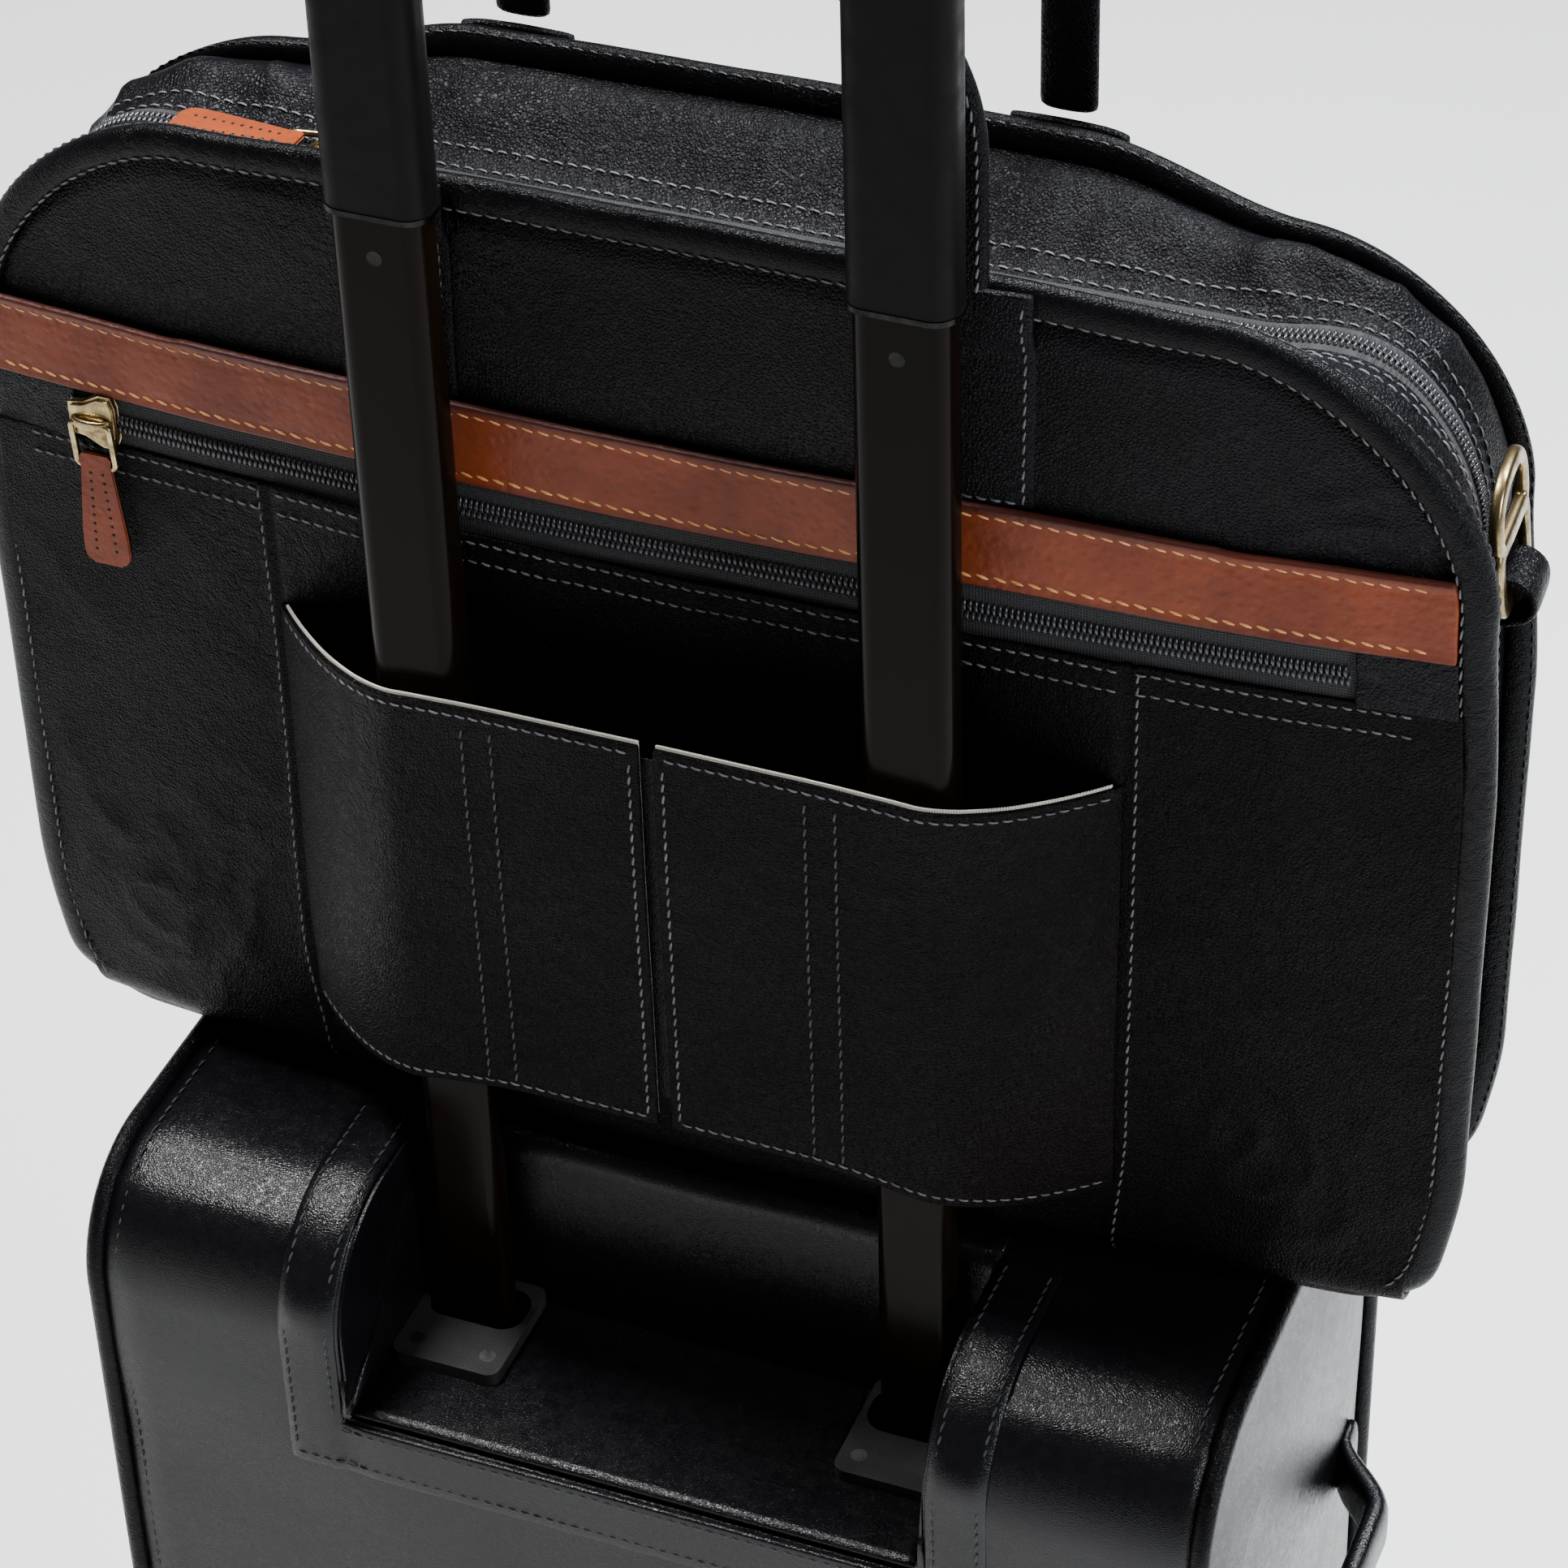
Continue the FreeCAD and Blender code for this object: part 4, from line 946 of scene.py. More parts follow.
# ------------------------------------------------------------------ side tabs and rings
def side_ring(side, ring_node, body, tab_first):
    """A brass strap ring with two windows, in a folded leather tab."""
    low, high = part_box(ring_node)
    hung = side * 2.2 * MM                       # the pulled tab stands a little further out than its seat
    x, bar = (low[0] + high[0]) / 2 + hung, 2.4 * MM
    y0, y1, z0, z1 = low[1] + bar, high[1] - bar, low[2] + bar, high[2] - bar
    middle = (z0 + z1) / 2

    def loop(bottom, top, low_radius, top_radius):
        points = []
        for cy, cz, radius, start in ((y1 - low_radius, bottom + low_radius, low_radius, -90),
                                      (y1 - top_radius, top - top_radius, top_radius, 0),
                                      (y0 + top_radius, top - top_radius, top_radius, 90),
                                      (y0 + low_radius, bottom + low_radius, low_radius, 180)):
            points += [Vector((x, y, z)) for y, z, _, _ in arc(cy, cz, radius, start, start + 90, 8)]
        return points
    out = Vector((side, 0, 0))
    bars = []
    for number, (bottom, top, r0, r1) in enumerate(((z0, middle + 0.3 * MM, 3.6 * MM, 4 * MM),
                                                    (middle - 0.3 * MM, z1, 4 * MM, 12 * MM))):
        points = loop(bottom, top, r0, r1)
        bars.append(sweep_piece(f"{ring_node}_loop_{number}", points, [out] * len(points),
                                oval(2.5 * MM, 1.9 * MM, 3.2, 16), BRASS, body, closed=True))
    ring = joined(ring_node + "_plate", bars)
    add_smoothing(ring)
    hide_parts(ring_node)
    centre_y = (low[1] + high[1]) / 2

    def turned(spot, lean):
        """The ring hangs square across the bag in its tab, and leans its top inwards."""
        a = -side * 0.06
        dx, dy = spot.x - x, spot.y - centre_y
        return Vector((x + dx * math.cos(a) - dy * math.sin(a) - side * lean * (spot.z - z0),
                       centre_y + dx * math.sin(a) + dy * math.cos(a), spot.z))
    for vert in ring.data.vertices:
        vert.co = turned(vert.co, 0.10)

    bar_z, reach = low[2] + 2.5 * MM, 6.4 * MM
    seat = x - hung - side * 7.2 * MM
    path = [(seat, bar_z - 19 * MM), (seat, bar_z - 11 * MM)]
    path += [(x + side * a, z) for a, z, _, _ in arc(1.4 * MM, bar_z, reach, 192, -55, 12)]
    path += [(seat + side * 3.4 * MM, bar_z - 10 * MM), (seat + side * 2.4 * MM, bar_z - 19 * MM)]
    path = resample([Vector((a, centre_y, z)) for a, z in path], 1.6 * MM)
    normals = [way.cross(FORWARD).normalized() for way in ways(path)]
    tab = sweep_piece(f"{ring_node}_tab", path, normals, oval(8.9 * MM, 1.15 * MM, 5.0, 28), BAG_LEATHER,
                      BAG)
    for vert in tab.data.vertices:
        share = smooth((vert.co.z - z0 + 16 * MM) / (12 * MM))
        vert.co = vert.co.lerp(turned(vert.co, 0.0), share)
    if tab_first:
        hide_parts("ring_tabs")


# ------------------------------------------------------------------ sliders and pulls
def plate_mesh(name, corners, place, thick, material, body, bevel=0.5 * MM):
    """A flat plate: corners (a, c) in a local frame, drawn by place(a, c, rise), thick upwards."""
    count = len(corners)
    verts = [place(a, c, 0.0) for a, c in corners] + [place(a, c, thick) for a, c in corners]
    faces = [tuple(range(count)), tuple(reversed(range(count, 2 * count)))]
    faces += [(i, (i + 1) % count, (i + 1) % count + count, i + count) for i in range(count)]
    piece = new_mesh(name, verts, faces, material, body)
    add_bevel(piece, bevel)
    add_modifier(piece, "WEIGHTED_NORMAL")
    return piece


def zip_slider(node, body, centre, along, out):
    """A cast slider with a bridge. along is the way the zip runs and out is away from the bag."""
    across, half, wide = along.cross(out), 7.4 * MM, 8.6 * MM

    def place(a, c, rise):
        return centre + along * a + across * c + out * rise
    shape = [(-half, 0.56 * wide), (-half * 0.35, 0.66 * wide), (half * 0.35, wide), (half * 0.85, wide),
             (half, 0.62 * wide)]
    shape += [(a, -c) for a, c in reversed(shape)]
    base = plate_mesh(node + "_base", shape, place, 2.0 * MM, BRASS, body)
    top_shape = [(a * 0.9, c * 0.86) for a, c in shape]
    lid = plate_mesh(node + "_lid", top_shape, lambda a, c, rise: place(a, c, rise + 2.1 * MM), 0.9 * MM,
                     BRASS, body, 0.35 * MM)
    turns = [math.pi * turn / 12 for turn in range(13)]
    arch = [place(-5.6 * MM * math.cos(a), 0, 2.6 * MM + 2.5 * MM * math.sin(a)) for a in turns]
    bridge = sweep_piece(node + "_bridge", arch, [across] * len(arch), oval(0.9 * MM, 1.7 * MM, 2.6, 12),
                         BRASS, body)
    slider = joined(node + "_cast", [base, lid, bridge])
    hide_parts(node)


def zip_pull(pull_node, pull_body, centre, out, hang):
    """A pull that lies down along hang: a wire ring and a punched leather tongue of two layers."""
    side = hang.cross(out)
    top = centre + out * 4.0 * MM

    def lie(down, sideways, rise=0.0):
        settle = 1.2 * MM * smooth(down / (10 * MM))
        return top + hang * down + side * sideways + out * (rise - settle)
    ring_points = []
    for cx, cy, start in ((4.6, 1.6, -90), (4.6, 13.6, 0), (-4.6, 13.6, 90), (-4.6, 1.6, 180)):
        ring_points += [lie(b * MM, a * MM) for a, b, _, _ in arc(cx, cy, 1.6, start, start + 90, 6)]
    ring = sweep_piece(pull_node + "_ring", ring_points, [out] * len(ring_points),
                       oval(1.05 * MM, 1.05 * MM, 2.4, 10), BRASS, pull_body, closed=True)
    edge = ((11.2, 4.0), (12.2, 4.9), (16.0, 4.6), (24.0, 5.4), (39.0, 6.9), (45.6, 7.1), (48.2, 6.2),
            (49.4, 4.2))
    tongue = [(a * MM, c * MM) for a, c in edge] + [(a * MM, -c * MM) for a, c in reversed(edge)]
    plate_mesh(pull_node + "_back", tongue, lambda a, c, rise: lie(a, c, rise - 1.2 * MM), 1.1 * MM,
               EDGE_LEATHER, pull_body, 0.3 * MM)
    plate_mesh(pull_node + "_front", tongue, lambda a, c, rise: lie(a, c * 0.99, rise - 0.1 * MM), 1.2 * MM,
               PULL_LEATHER, pull_body, 0.35 * MM)
    verts, faces, around = [], [], 8
    turns = [2 * math.pi * k / around for k in range(around)]
    for sideways, number in [(row, number) for row in (-1, 1) for number in range(10)]:
        spot = lie((17.5 + 3.0 * number) * MM, sideways * (2.0 + 0.14 * number) * MM, 1.12 * MM)
        faces += tube_faces(2, around, start=len(verts))[:around]
        faces.append(tuple(len(verts) + around + k for k in range(around)))
        for level, size in ((0.0, 0.56 * MM), (0.09 * MM, 0.42 * MM)):
            verts += [spot + hang * (size * math.cos(a)) + side * (size * math.sin(a)) + out * level
                      for a in turns]
    new_mesh(pull_node + "_dots", verts, faces, EDGE_LEATHER, pull_body)
    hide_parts(pull_node)


def all_sliders():
    up, left_right = UP, Vector((1, 0, 0))
    jobs = (("rear", "rear_zip_slider", "rear_zip_pull", BACKWARD, -up, left_right),
            ("front", "front_zip_slider", "front_zip_pull", FORWARD, -up, -left_right),
            ("case", "case_zip_slider", "case_zip_pull", FORWARD, -up, left_right),
            ("main", "main_zip_slider", "main_zip_pull", up, -left_right, left_right))
    for name, body, pull_body, out, hang, along in jobs:
        low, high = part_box(name + "_slider")
        centre = centre_of(low, high)
        face = high if out.y < 0 or out.z < 0 else low
        centre = Vector([face[i] if abs(out[i]) > 0.5 else centre[i] for i in range(3)])
        if name == "rear":
            centre.y = rear_y(centre.x, centre.z) - 2.4 * MM
        if name == "main":
            centre.z -= zip_depth(centre.x) - (BAG_HIGH[2] - MAIN_ZIP_HIGH[2])
        zip_slider(name + "_slider", body, centre, along, out)
        zip_pull(name + "_pull", pull_body, centre, out, hang)


# ------------------------------------------------------------------ front of the bag
def bag_front():
    """The side of the bag away from the photo: its panel, its zipped pocket and their stitches."""
    half = BAG_HALF - PANEL_INSET
    pouch_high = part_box("front_pocket")[1]
    tape_low, tape_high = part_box("front_pocket_zip")

    def panel(u, v):
        x = (2 * u - 1) * half
        low = BAG_LOW[2] + PANEL_INSET
        z = low + (panel_high(x, PANEL_INSET) - low) * v
        edge = min(half - abs(x), panel_high(x, PANEL_INSET) - z, z - low)
        y = front_y(x, z) + 0.8 * MM * folds((x, 0.4, z), 0.05, 14) - 1.8 * MM * (1 - smooth(edge / (9 * MM)))
        return Vector((x * taper(z), y, z))
    skin = sheet_piece("front_leather", 131, 91, panel, BAG_LEATHER, BAG, 2 * MM, 1.0)
    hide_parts("front_panel")

    straight = pouch_high[2] - (BAG_LOW[2] + ROLL)

    def pouch(u, v):
        x, run = (2 * u - 1) * half, (straight + ROLLED) * (1 - v)
        z, under = rolled_under(pouch_high[2], run)
        belly = 4.6 * MM * bump(run, straight * 0.6, 40 * MM) * (1 - (abs(x) / PANEL_HALF) ** 4)
        crease = 1.8 * MM * folds((x, 0.7, z * 1.4), 0.022, 19)
        return Vector((x * taper(z), front_y(x, z) + 2.4 * MM + belly - under + crease, z))
    pocket = sheet_piece("front_pocket_leather", 171, 45, pouch, BAG_LEATHER, BAG, 1.9 * MM, 1.0)
    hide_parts("front_pocket")
    middle = (tape_low[2] + tape_high[2]) / 2
    path = face_line(front_y, middle, 0.8 * MM)
    zip_line("front_zip", path, FORWARD, UP, tape_high[2] - tape_low[2] + 3 * MM,
             BAG, "front_pocket_zip")
    for name, z, rise in (("above", tape_high[2] + 4 * MM, 1.0 * MM),
                          ("below", pouch_high[2] - 3 * MM, 3.4 * MM)):
        stitch_row("front_stitches_" + name, face_line(front_y, z, rise, 206), FORWARD, GREY_THREAD, BAG,
                   pitch=4.2 * MM)


# ------------------------------------------------------------------ wheeled case
CASE_BACK_RADIUS, CASE_EDGE_RADIUS = 40 * MM, 25 * MM
CASE_HALF = CASE_HIGH[0]
WELL_FRONT, WELL_FLOOR = WELL_HIGH[1], WELL_LOW[2]
NEAR = 0.01 * MM                                 # what counts as the same place
TUBE_X, TUBE_Y = (56 * MM, 92 * MM), (-58 * MM, -32 * MM)     # where the well's floor is open for a tube
FOLD_X, FOLD_Z = 108 * MM, 346 * MM              # the band's leather is pinched here


def case_profile(inset=0.0, spacing=5 * MM):
    """Points (y, z, ny, nz) round the case from the well's front edge: front, bottom, back, top."""
    back, front, low, high = CASE_LOW[1], CASE_HIGH[1], CASE_LOW[2], CASE_HIGH[2]
    r, big = CASE_EDGE_RADIUS, CASE_BACK_RADIUS
    points = [(WELL_FRONT, high, 0.0, 1.0)] + quarter(front - r, high - r, r, 90, 0, 4 * MM)
    points += quarter(front - r, low + r, r, 0, -90, 4 * MM) + quarter(back + r, low + r, r, -90, -180, 4 * MM)
    points += [(back, WELL_FLOOR, -1.0, 0.0)] + quarter(back + big, high - big, big, 180, 90, 4 * MM)
    return [(y - ny * inset, z - nz * inset, ny, nz) for y, z, ny, nz in spread(points, spacing)]


def off_case(x, place, rise=0.0):
    """The point at x that stands rise off a place (y, z, ny, nz) of the case's profile."""
    y, z, ny, nz = place
    return Vector((x, y + ny * rise, z + nz * rise))


def case_soft(x, y, z):
    """How far the case's leather stands off its flat faces: soft, and never up into the bag."""
    swell = 1.0 * MM * ripple((x, y, z), 0.12, 101) + 0.5 * MM * ripple((x, y, z), 0.04, 104)
    if z > CASE_HIGH[2] - 6 * MM:
        swell = -0.9 * MM + 0.4 * swell
    return swell


def case_shell():
    """The leather round the case, open over the well."""
    ring = case_profile()
    edge = CASE_HALF + 1.5 * MM
    columns = steps(-edge, -WELL_HALF, 5 * MM) + steps(-WELL_HALF, WELL_HALF, 7 * MM)[1:] + steps(
        WELL_HALF, edge, 5 * MM)[1:]
    verts, rows = [], len(ring)
    for x in columns:
        tuck = 2.2 * MM * smooth((abs(x) - (CASE_HALF - 7 * MM)) / (8 * MM))
        verts += [off_case(x, place, case_soft(x, place[0], place[1]) - tuck) for place in ring]
    well_rows = [y < WELL_FRONT - NEAR and z >= WELL_FLOOR - NEAR for y, z, _, _ in ring]

    def over_well(i, j):
        inside = max(abs(columns[i]), abs(columns[i + 1])) < WELL_HALF + NEAR
        return inside and (well_rows[j] or j == rows - 1)
    faces = grid_faces(len(columns), rows, looped=True, skip=over_well)
    shell = new_mesh("case_leather_shell", verts, faces, CASE_LEATHER, CASE)
    add_modifier(shell, "SOLIDIFY", thickness=3 * MM, offset=-1.0)
    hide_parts("case_shell")


def case_ends():
    """The two padded ends, each with its piping and a row of stitches round the shell."""
    for side in (-1, 1):
        ring = case_profile(5 * MM, 6 * MM)
        cy, cz = (CASE_LOW[1] + CASE_HIGH[1]) / 2, (CASE_LOW[2] + CASE_HIGH[2]) / 2
        levels = (0.0, 0.2, 0.4, 0.58, 0.72, 0.83, 0.9, 0.95, 0.98, 1.0)
        verts = []
        for y, z, _, _ in ring:
            for level in levels:
                py, pz = cy + (y - cy) * level, cz + (z - cz) * level
                dome = 5.4 * MM * (1 - level ** 7) + 0.9 * MM * ripple((py, pz, side), 0.09, 120)
                out = CASE_HALF - 0.4 * MM + dome * min(1.0, 4 * (1.05 - level))
                verts.append(Vector((side * out, py, pz)))
        faces = grid_faces(len(ring), len(levels), closed=True)
        end = new_mesh(f"case_end_leather_{side + 2}", verts, faces, CASE_LEATHER, CASE)
        add_modifier(end, "WELD", merge_threshold=0.05 * MM)
        add_modifier(end, "SOLIDIFY", thickness=2 * MM, offset=side * 1.0)
        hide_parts("case_end_right" if side > 0 else "case_end_left")
        line = case_profile(2.6 * MM, 4 * MM)
        path = [off_case(side * (CASE_HALF + 2.6 * MM), place) for place in line]
        normals = [Vector((0, ny, nz)) for _, _, ny, nz in line]
        piping = sweep_piece(f"case_piping_{side + 2}", path, normals, oval(3.1 * MM, 3.0 * MM, 2.0, 14),
                             EDGE_LEATHER, CASE, closed=True)
        if side > 0:
            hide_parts("case_piping")
        row = [off_case(side * (CASE_HALF - 5.2 * MM), place) for place in case_profile(1.0 * MM, 4 * MM)]
        stitch_row(f"case_piping_stitches_{side + 2}", row + [row[0]], case_out, DARK_THREAD, CASE,
                   pitch=4.6 * MM)


def case_out(spot):
    """Outward normal of the case's rounded profile at a point."""
    back, front, low, high = CASE_LOW[1], CASE_HIGH[1], CASE_LOW[2], CASE_HIGH[2]
    top_back = spot.y < 0 and spot.z > (low + high) / 2
    r = CASE_BACK_RADIUS if top_back else CASE_EDGE_RADIUS
    dy = min(spot.y - (back + r), 0.0) or max(spot.y - (front - r), 0.0)
    dz = min(spot.z - (low + r), 0.0) or max(spot.z - (high - r), 0.0)
    return Vector((0, dy, dz)).normalized() if dy or dz else BACKWARD


def case_band():
    """The raised band round the well, one piece of leather that folds over the rounded edge."""
    low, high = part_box("well_band")
    ring = case_profile(0.0, 3.5 * MM)
    rows = [p for p in ring if p[0] < low[1] + 50 * MM and p[1] > low[2] - 1 * MM
            and not (p[0] > -40 * MM and p[1] < 300 * MM)]
    rows += [p for p in ring if p[1] > high[2] - 3 * MM and low[1] + 50 * MM <= p[0] <= high[1] - 1 * MM]
    inner, outer = WELL_HALF + 0.3 * MM, high[0]
    columns = steps(-outer, -inner) + steps(-inner, inner, 8 * MM)[1:] + steps(inner, outer)[1:]
    verts = []
    for x in columns:
        near_edge = min(abs(abs(x) - inner), abs(outer - abs(x)))
        for place in rows:
            y, z = place[:2]
            fold = 2.6 * MM * bump(z, FOLD_Z, 7 * MM) * bump(abs(x), FOLD_X, 12 * MM)
            rise = 1.0 * MM + 0.9 * MM * smooth(near_edge / (3 * MM)) + fold * smooth(near_edge / (5 * MM))
            rise += 0.25 * MM * ripple((x, y, z), 0.03, 130)
            verts.append(off_case(x, place, rise))

    def over_well(i, j):
        inside = max(abs(columns[i]), abs(columns[i + 1])) < inner + NEAR
        return inside and rows[j][1] >= WELL_FLOOR - NEAR
    faces = grid_faces(len(columns), len(rows), skip=over_well)
    band = new_mesh("well_band_leather", verts, faces, CASE_LEATHER, CASE)
    add_modifier(band, "SOLIDIFY", thickness=2.6 * MM, offset=-1.0)
    add_bevel(band, 0.9 * MM, 1.0)
    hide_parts("well_band")
    for side in (-1, 1):
        for number, x in enumerate((inner + 2.8 * MM, outer - 2.8 * MM)):
            foot = WELL_FLOOR if number == 0 else low[2] + 3 * MM
            path = [off_case(side * x, place, 1.9 * MM) for place in rows if place[1] > foot]
            stitch_row(f"band_stitches_{side + 2}_{number}", path, case_out, DARK_THREAD, CASE,
                       pitch=4.2 * MM)
    for number, z in enumerate((low[2] + 2.8 * MM, WELL_FLOOR - 2.8 * MM)):
        reach = outer - 2.8 * MM if number == 0 else inner + 1 * MM
        path = [Vector((x, CASE_LOW[1] - 1.9 * MM, z)) for x in steps(-reach, reach)]
        stitch_row(f"band_foot_stitches_{number}", path, BACKWARD, DARK_THREAD, CASE,
                   pitch=4.2 * MM)


def case_well():
    """The well's leather: a front wall rolled over the case's top edge, two sides and a floor."""
    wall_y, floor_z = WELL_FRONT - 3 * MM, WELL_FLOOR + 3 * MM
    roll, top, half = 7 * MM, CASE_HIGH[2] + 0.1 * MM, WELL_HALF - 0.6 * MM
    profile = [(wall_y, z) for z in steps(floor_z, top - roll, 5 * MM)]
    profile += [(y, z) for y, z, _, _ in arc(wall_y + roll, top - roll, roll, 180, 90, 10)[1:]]
    profile += [(wall_y + roll + step * 3 * MM, top - step * 0.35 * MM) for step in (1, 2, 3)]

    def front(u, v):
        x = -half + 2 * half * u
        y, z = between(profile, v)
        soft = 1.0 * MM * ripple((x, y, z), 0.06, 140) + 1.6 * MM * bump(z, WELL_FLOOR + 40 * MM, 22 * MM)
        return Vector((x, y - soft * smooth((top - z) / (8 * MM)), z))
    wall = sheet_piece("well_front_leather", len(steps(-half, half)), 46, front, CASE_LEATHER, CASE, 2.2 * MM)
    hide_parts("well_tray")
    for side in (-1, 1):
        rows = [p for p in case_profile(0.0, 4 * MM) if p[0] <= WELL_FRONT and p[1] >= WELL_FLOOR + 3.5 * MM]

        def cheek(u, v, rows=rows, side=side):
            x = side * (WELL_HALF - 0.8 * MM * (1 + math.sin(math.pi * v)))
            spot = off_case(x, between(rows, u), -0.6 * MM)
            return Vector((spot.x, spot.y, floor_z + (spot.z - floor_z) * v))
        sheet_piece(f"well_cheek_{side + 2}", 40, 12, cheek, CASE_LEATHER, CASE, 2.0 * MM, side)
    xs, ys = steps(-WELL_HALF + 3 * MM, WELL_HALF - 3 * MM), steps(CASE_LOW[1] + 1 * MM, wall_y)
    verts = [Vector((x, y, floor_z + 0.5 * MM)) for x in xs for y in ys]

    def at_tube(i, j):
        x, y = abs(xs[i] + xs[i + 1]) / 2, (ys[j] + ys[j + 1]) / 2
        return TUBE_X[0] < x < TUBE_X[1] and TUBE_Y[0] < y < TUBE_Y[1]
    faces = grid_faces(len(xs), len(ys), skip=at_tube)
    floor = new_mesh("well_floor_leather", verts, faces, CASE_LEATHER, CASE)
    add_modifier(floor, "SOLIDIFY", thickness=1.6 * MM, offset=-1.0)


def case_line(box, z, rise):
    """A line across the case's front over a box's width."""
    return [Vector((x, CASE_HIGH[1] + rise, z)) for x in steps(box[0][0], box[1][0])]


def case_pocket():
    """The padded pocket on the case's front, with the zip above it."""
    low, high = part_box("case_pocket")

    def face(u, v):
        x, z = low[0] + (high[0] - low[0]) * u, low[2] + (high[2] - low[2]) * v
        edge = min(x - low[0], high[0] - x, z - low[2], (high[2] - z) * 2.2)
        rise = 2.0 * MM + 5.2 * MM * smooth(edge / (26 * MM))
        rise += 1.1 * MM * folds((x, 1.0, z), 0.05, 150) * smooth(edge / (20 * MM))
        return Vector((x, CASE_HIGH[1] + 0.4 * MM + rise, z))
    pocket = sheet_piece("case_pocket_leather", 101, 77, face, CASE_LEATHER, CASE, 2.0 * MM, 1.0)
    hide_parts("case_pocket")
    inset = 3.2 * MM
    left, right, foot, top = low[0] + inset, high[0] - inset, low[2] + inset, high[2] - inset
    corners = [(left, top), (left, foot), (right, foot), (right, top), (left, top)]
    y, path = CASE_HIGH[1] + 2.9 * MM, []
    for (x0, z0), (x1, z1) in zip(corners, corners[1:]):
        path += [Vector((x0 + (x1 - x0) * k / 60, y, z0 + (z1 - z0) * k / 60)) for k in range(60)]
    stitch_row("case_pocket_stitches", path, FORWARD, DARK_THREAD, CASE, pitch=4.6 * MM)
    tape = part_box("case_zip")
    foot, top = tape[0][2], tape[1][2]
    zip_line("case_front_zip", case_line(tape, (foot + top) / 2, 1.3 * MM), FORWARD, UP, top - foot, CASE,
             "case_zip")
    for row, z in enumerate((foot - 2.5 * MM, top + 2.5 * MM)):
        stitch_row(f"case_zip_stitches_{row}", case_line(tape, z, 0.6 * MM), FORWARD, DARK_THREAD, CASE,
                   pitch=4.4 * MM)


def side_handle():
    """A carry handle of folded leather on two feet."""
    low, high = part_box("side_handle")
    z, half_z = (low[2] + high[2]) / 2, (high[2] - low[2]) / 2
    crest, seat = high[0] - 4.3 * MM, low[0] + 2.4 * MM
    path = []
    for y in steps(-58 * MM, 58 * MM, 3 * MM):
        rise = smooth((58 * MM - abs(y)) / (26 * MM) - 0.25)
        path.append(Vector((seat + (crest - seat) * rise, y, z)))
    normals = [way.cross(UP).normalized() for way in ways(path)]

    def section(t):
        ends = abs(2 * t - 1)
        thick = (2.2 + 1.9 * smooth((1 - ends) * 2.4)) * MM
        return oval(half_z - 0.4 * MM - 1.6 * MM * (1 - ends), thick, 3.0, 22)
    piece = sweep_piece("side_handle_leather", path, normals, section, CASE_LEATHER, CASE)
    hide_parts("side_handle")


# ------------------------------------------------------------------ wheels
def lathe(name, centre, profile, material, body, around=72):
    """A solid of revolution about X: profile (x, radius) pairs, closed."""
    verts = []
    for step in range(around):
        a = 2 * math.pi * step / around
        verts += [centre + Vector((x, r * math.cos(a), r * math.sin(a))) for x, r in profile]
    return new_mesh(name, verts, tube_faces(around, len(profile), closed=True), material, body)


def wheels():
    """Grooved tyres on six-spoked hubs."""
    for side, word in ((1, "right"), (-1, "left")):
        low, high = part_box("tyre_" + word)
        centre = centre_of(low, high)
        half, radius = (high[0] - low[0]) / 2, (high[2] - low[2]) / 2
        hub_radius = (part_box("hub_" + word)[1][2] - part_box("hub_" + word)[0][2]) / 2
        body = word + "_wheel"
        shoulder = [(half, hub_radius), (half, radius - 3.4 * MM), (half - 0.9 * MM, radius - 1.2 * MM),
                    (half - 2.6 * MM, radius - 0.1 * MM)]
        tread = [(-x, r) for x, r in shoulder]
        groove = ((-0.75, 0), (-0.45, 1.1), (0.45, 1.1), (0.75, 0))
        tread += [((x + a) * MM, radius - b * MM) for x in (-4.2, 0.0, 4.2) for a, b in groove]
        tread += reversed(shoulder)
        tyre = lathe("tyre_tread_" + word, centre, tread, TYRE, body)
        add_bevel(tyre, 0.25 * MM, 0.5, 2)
        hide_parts("tyre_" + word)
        bore, rim = 4.2 * MM, hub_radius - 0.02 * MM
        disc = [(half - 0.3 * MM, bore), (half - 0.3 * MM, 7.5 * MM), (half - 3.6 * MM, 8.6 * MM),
                (half - 3.6 * MM, rim - 2.8 * MM), (half - 0.4 * MM, rim - 1.8 * MM), (half - 0.4 * MM, rim)]
        disc = [(-x, r) for x, r in disc] + disc[::-1]
        parts = [lathe("hub_disc_" + word, centre, disc, NYLON, body)]
        for spoke in range(6):
            a = math.pi * spoke / 3
            radial, tangent = Vector((0, math.cos(a), math.sin(a))), Vector((0, -math.sin(a), math.cos(a)))
            corners = [(r * MM, t * MM) for r, t in ((7.6, -1.5), (17.9, -1.1), (17.9, 1.1), (7.6, 1.5))]

            def place(p, q, rise, radial=radial, tangent=tangent):
                return centre + radial * p + tangent * q + Vector((rise - half + 1.0 * MM, 0, 0))
            parts.append(plate_mesh(f"hub_spoke_{word}_{spoke}", corners, place, 2 * half - 2 * MM, NYLON, body,
                                    0.5 * MM))
        hub = joined("hub_spoked_" + word, parts)
        add_bevel(hub, 0.35 * MM, 0.5, 2)
        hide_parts("hub_" + word)


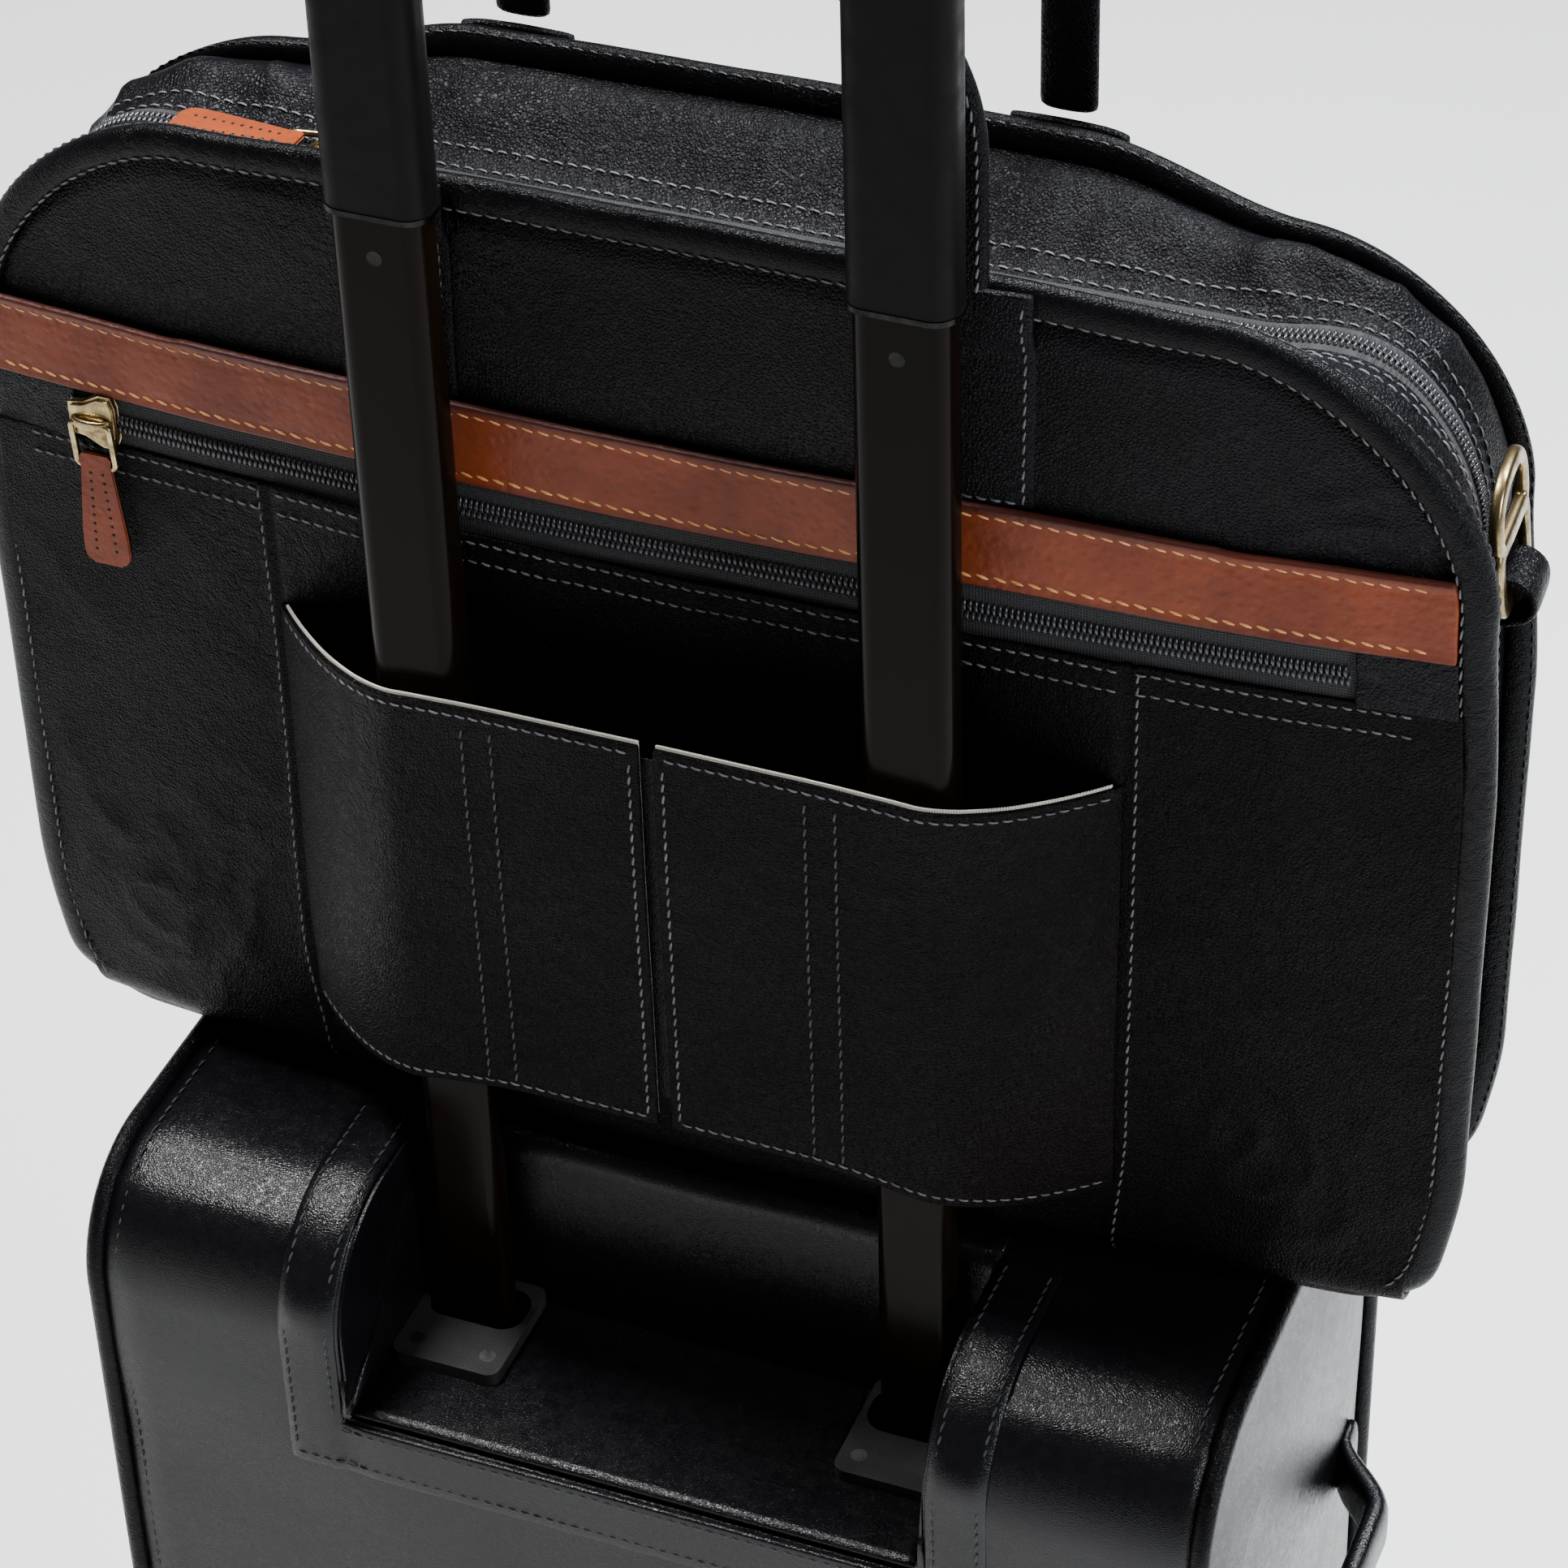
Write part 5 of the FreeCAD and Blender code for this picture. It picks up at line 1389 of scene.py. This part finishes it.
# ------------------------------------------------------------------ padded dividers
def padded_divider(node, body, material, swell, cap):
    """A foam board in a lining cover, puffed by a short cloth simulation."""
    low, high = (Vector(corner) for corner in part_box(node))
    middle, size = (low + high) / 2, high - low
    thin = max(size.y - 2 * swell, 2.4 * MM)
    across, up = max(8, round(size.x / (9 * MM))), max(8, round(size.z / (9 * MM)))
    half = Vector((size.x / 2 - 1 * MM, thin / 2, size.z / 2 - 1 * MM))
    verts = []
    for y in (-half.y, half.y):
        verts += [middle + Vector((half.x * (2 * i / across - 1), y, half.z * (2 * j / up - 1)))
                  for i in range(across + 1) for j in range(up + 1)]
    rows, plane = up + 1, (across + 1) * (up + 1)
    faces = []
    for i in range(across):
        for j in range(up):
            a, b = i * rows + j, (i + 1) * rows + j
            faces += [(a, b, b + 1, a + 1), (plane + a, plane + a + 1, plane + b + 1, plane + b)]
    rim = [i * rows for i in range(across + 1)] + [across * rows + j for j in range(1, rows)]
    rim += [i * rows + up for i in reversed(range(across))] + list(reversed(range(1, up)))
    for a, b in zip(rim, rim[1:] + rim[:1]):
        faces.append((a, plane + a, plane + b, b))
    pad = new_mesh(node + "_pad", verts, faces, material, body)
    start = [v.co.copy() for v in pad.data.vertices]
    cloth = add_modifier(pad, "CLOTH")
    cloth.settings.use_pressure = True
    cloth.settings.uniform_pressure_force = 4.0
    cloth.settings.effector_weights.gravity = 0.0
    cloth.settings.tension_stiffness = 30.0
    cloth.point_cache.frame_start, cloth.point_cache.frame_end = 1, 16
    for number in range(1, 17):
        bpy.context.scene.frame_set(number)
    puffed = pad.evaluated_get(bpy.context.evaluated_depsgraph_get()).data
    moved = [v.co.copy() for v in puffed.vertices]
    pad.modifiers.remove(cloth)
    bpy.context.scene.frame_set(1)
    for vertex, before, after in zip(pad.data.vertices, start, moved):
        step = after - before
        if step.length > cap:
            step *= cap / step.length
        spot = before + step
        vertex.co = Vector([min(max(spot[k], low[k]), high[k]) for k in range(3)])
    add_smoothing(pad)
    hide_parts(node)


# ------------------------------------------------------------------ build the pieces
bag_back_panel()
bag_rear_pocket()
bag_stripe()
rear_zip()
bound_edge("near_binding", rear_y, -1, "binding_rear")
bound_edge("far_binding", front_y, 1, "binding_front")
bag_top()
bag_gusset()
bag_sleeve()
bag_straps()
grab_handle("rear_handle", "rear_grab", -1)
grab_handle("front_handle", "front_grab", 1)
side_ring(1, "ring_right", "right_ring", True)
side_ring(-1, "ring_left", "left_ring", False)
all_sliders()
bag_front()
case_shell()
case_ends()
case_band()
case_well()
case_pocket()
side_handle()
wheels()
padded_divider("laptop_divider", BAG, LINING, 1.6 * MM, 2 * MM)
padded_divider("case_divider", CASE, LINING, 1.6 * MM, 2 * MM)

# the lower and middle tubes get the black gloss with its painted brown reflection
dress(BROWN_REFLECTION_TUBE, "lower_tubes", "middle_tubes")
dress(MATT_TUBE, "upper_tubes")
dress(STEEL, "collar_screws", "guide_tubes", "axles", "push_rods")
dress(PIN_STEEL, "detent_pins", "ferrules")
dress(PLASTIC, "grip", "button", "tube_collars", "base_frame", "wheel_housings")
dress(RUBBER, "feet")
for node, width in (("grip", 1.2), ("button", 0.8), ("tube_collars", 0.8), ("wheel_housings", 1.0),
                    ("feet", 1.5), ("ferrules", 0.25), ("detent_pins", 0.3), ("collar_screws", 0.2),
                    ("base_frame", 1.0)):
    add_bevel(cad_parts[node], width * MM)

# ------------------------------------------------------------------ camera, placed to match the photo
CAMERA_SPOT = Vector((449.5, -1029.6, 1384.4)) * MM
AZIMUTH, ELEVATION, ROLL_ANGLE = 0.39704, 0.66426, -0.03329
back = Vector((math.sin(AZIMUTH) * math.cos(ELEVATION), -math.cos(AZIMUTH) * math.cos(ELEVATION),
               math.sin(ELEVATION)))
level = (-back).cross(UP).normalized()
upright = level.cross(-back)
right = level * math.cos(ROLL_ANGLE) + upright * math.sin(ROLL_ANGLE)
above = upright * math.cos(ROLL_ANGLE) - level * math.sin(ROLL_ANGLE)
lens = bpy.data.cameras.new("camera")
lens.lens, lens.sensor_width, lens.clip_start = 111.9, 36.0, 0.05
camera = bpy.data.objects.new("camera", lens)
bpy.context.collection.objects.link(camera)
camera.matrix_world = Matrix.Translation(CAMERA_SPOT) @ Matrix((right, above, back)).transposed().to_4x4()
bpy.context.scene.camera = camera


# ------------------------------------------------------------------ lights, world and floor
def area_light(name, spot, aim, size, power, tint=(1.0, 1.0, 1.0)):
    data = bpy.data.lights.new(name, "AREA")
    data.shape, data.size, data.size_y, data.energy, data.color = "RECTANGLE", size[0], size[1], power, tint
    lamp = bpy.data.objects.new(name, data)
    bpy.context.collection.objects.link(lamp)
    lamp.location = spot
    lamp.rotation_euler = (Vector(aim) - Vector(spot)).to_track_quat("-Z", "Y").to_euler()
    return lamp


area_light("key", (-0.75, 0.1, 2.5), (-0.05, 0.0, 0.6), (0.6, 0.6), 95)
area_light("top", (0.5, 0.9, 2.2), (0, 0, 0.6), (0.8, 0.6), 100, (0.93, 0.96, 1.0))
area_light("low", (-0.9, -1.9, 0.35), (0, 0, 0.5), (0.5, 0.4), 0.5)
area_light("side", (1.9, -0.6, 1.5), (0.1, 0, 0.5), (0.6, 0.8), 42, (0.93, 0.96, 1.0))
world = bpy.data.worlds.new("world")
bpy.context.scene.world = world
world.use_nodes = True
world.node_tree.nodes["Background"].inputs["Color"].default_value = rgb(1.0, 1.0, 1.0)
world.node_tree.nodes["Background"].inputs["Strength"].default_value = 0.12

bpy.ops.mesh.primitive_plane_add(size=60, location=(0, 0, 0))
floor = bpy.context.object
floor.name = "floor"
pale = Nodes("pale_floor", Roughness=0.6, Emission_Color=rgb(1.0, 1.0, 1.0), Emission_Strength=0.16)
pale.link(pale.mix(pale.noise(3.0, 3.0), rgb(0.82, 0.82, 0.82), rgb(0.85, 0.85, 0.85)), "Base Color")
floor.data.materials.append(pale.material)
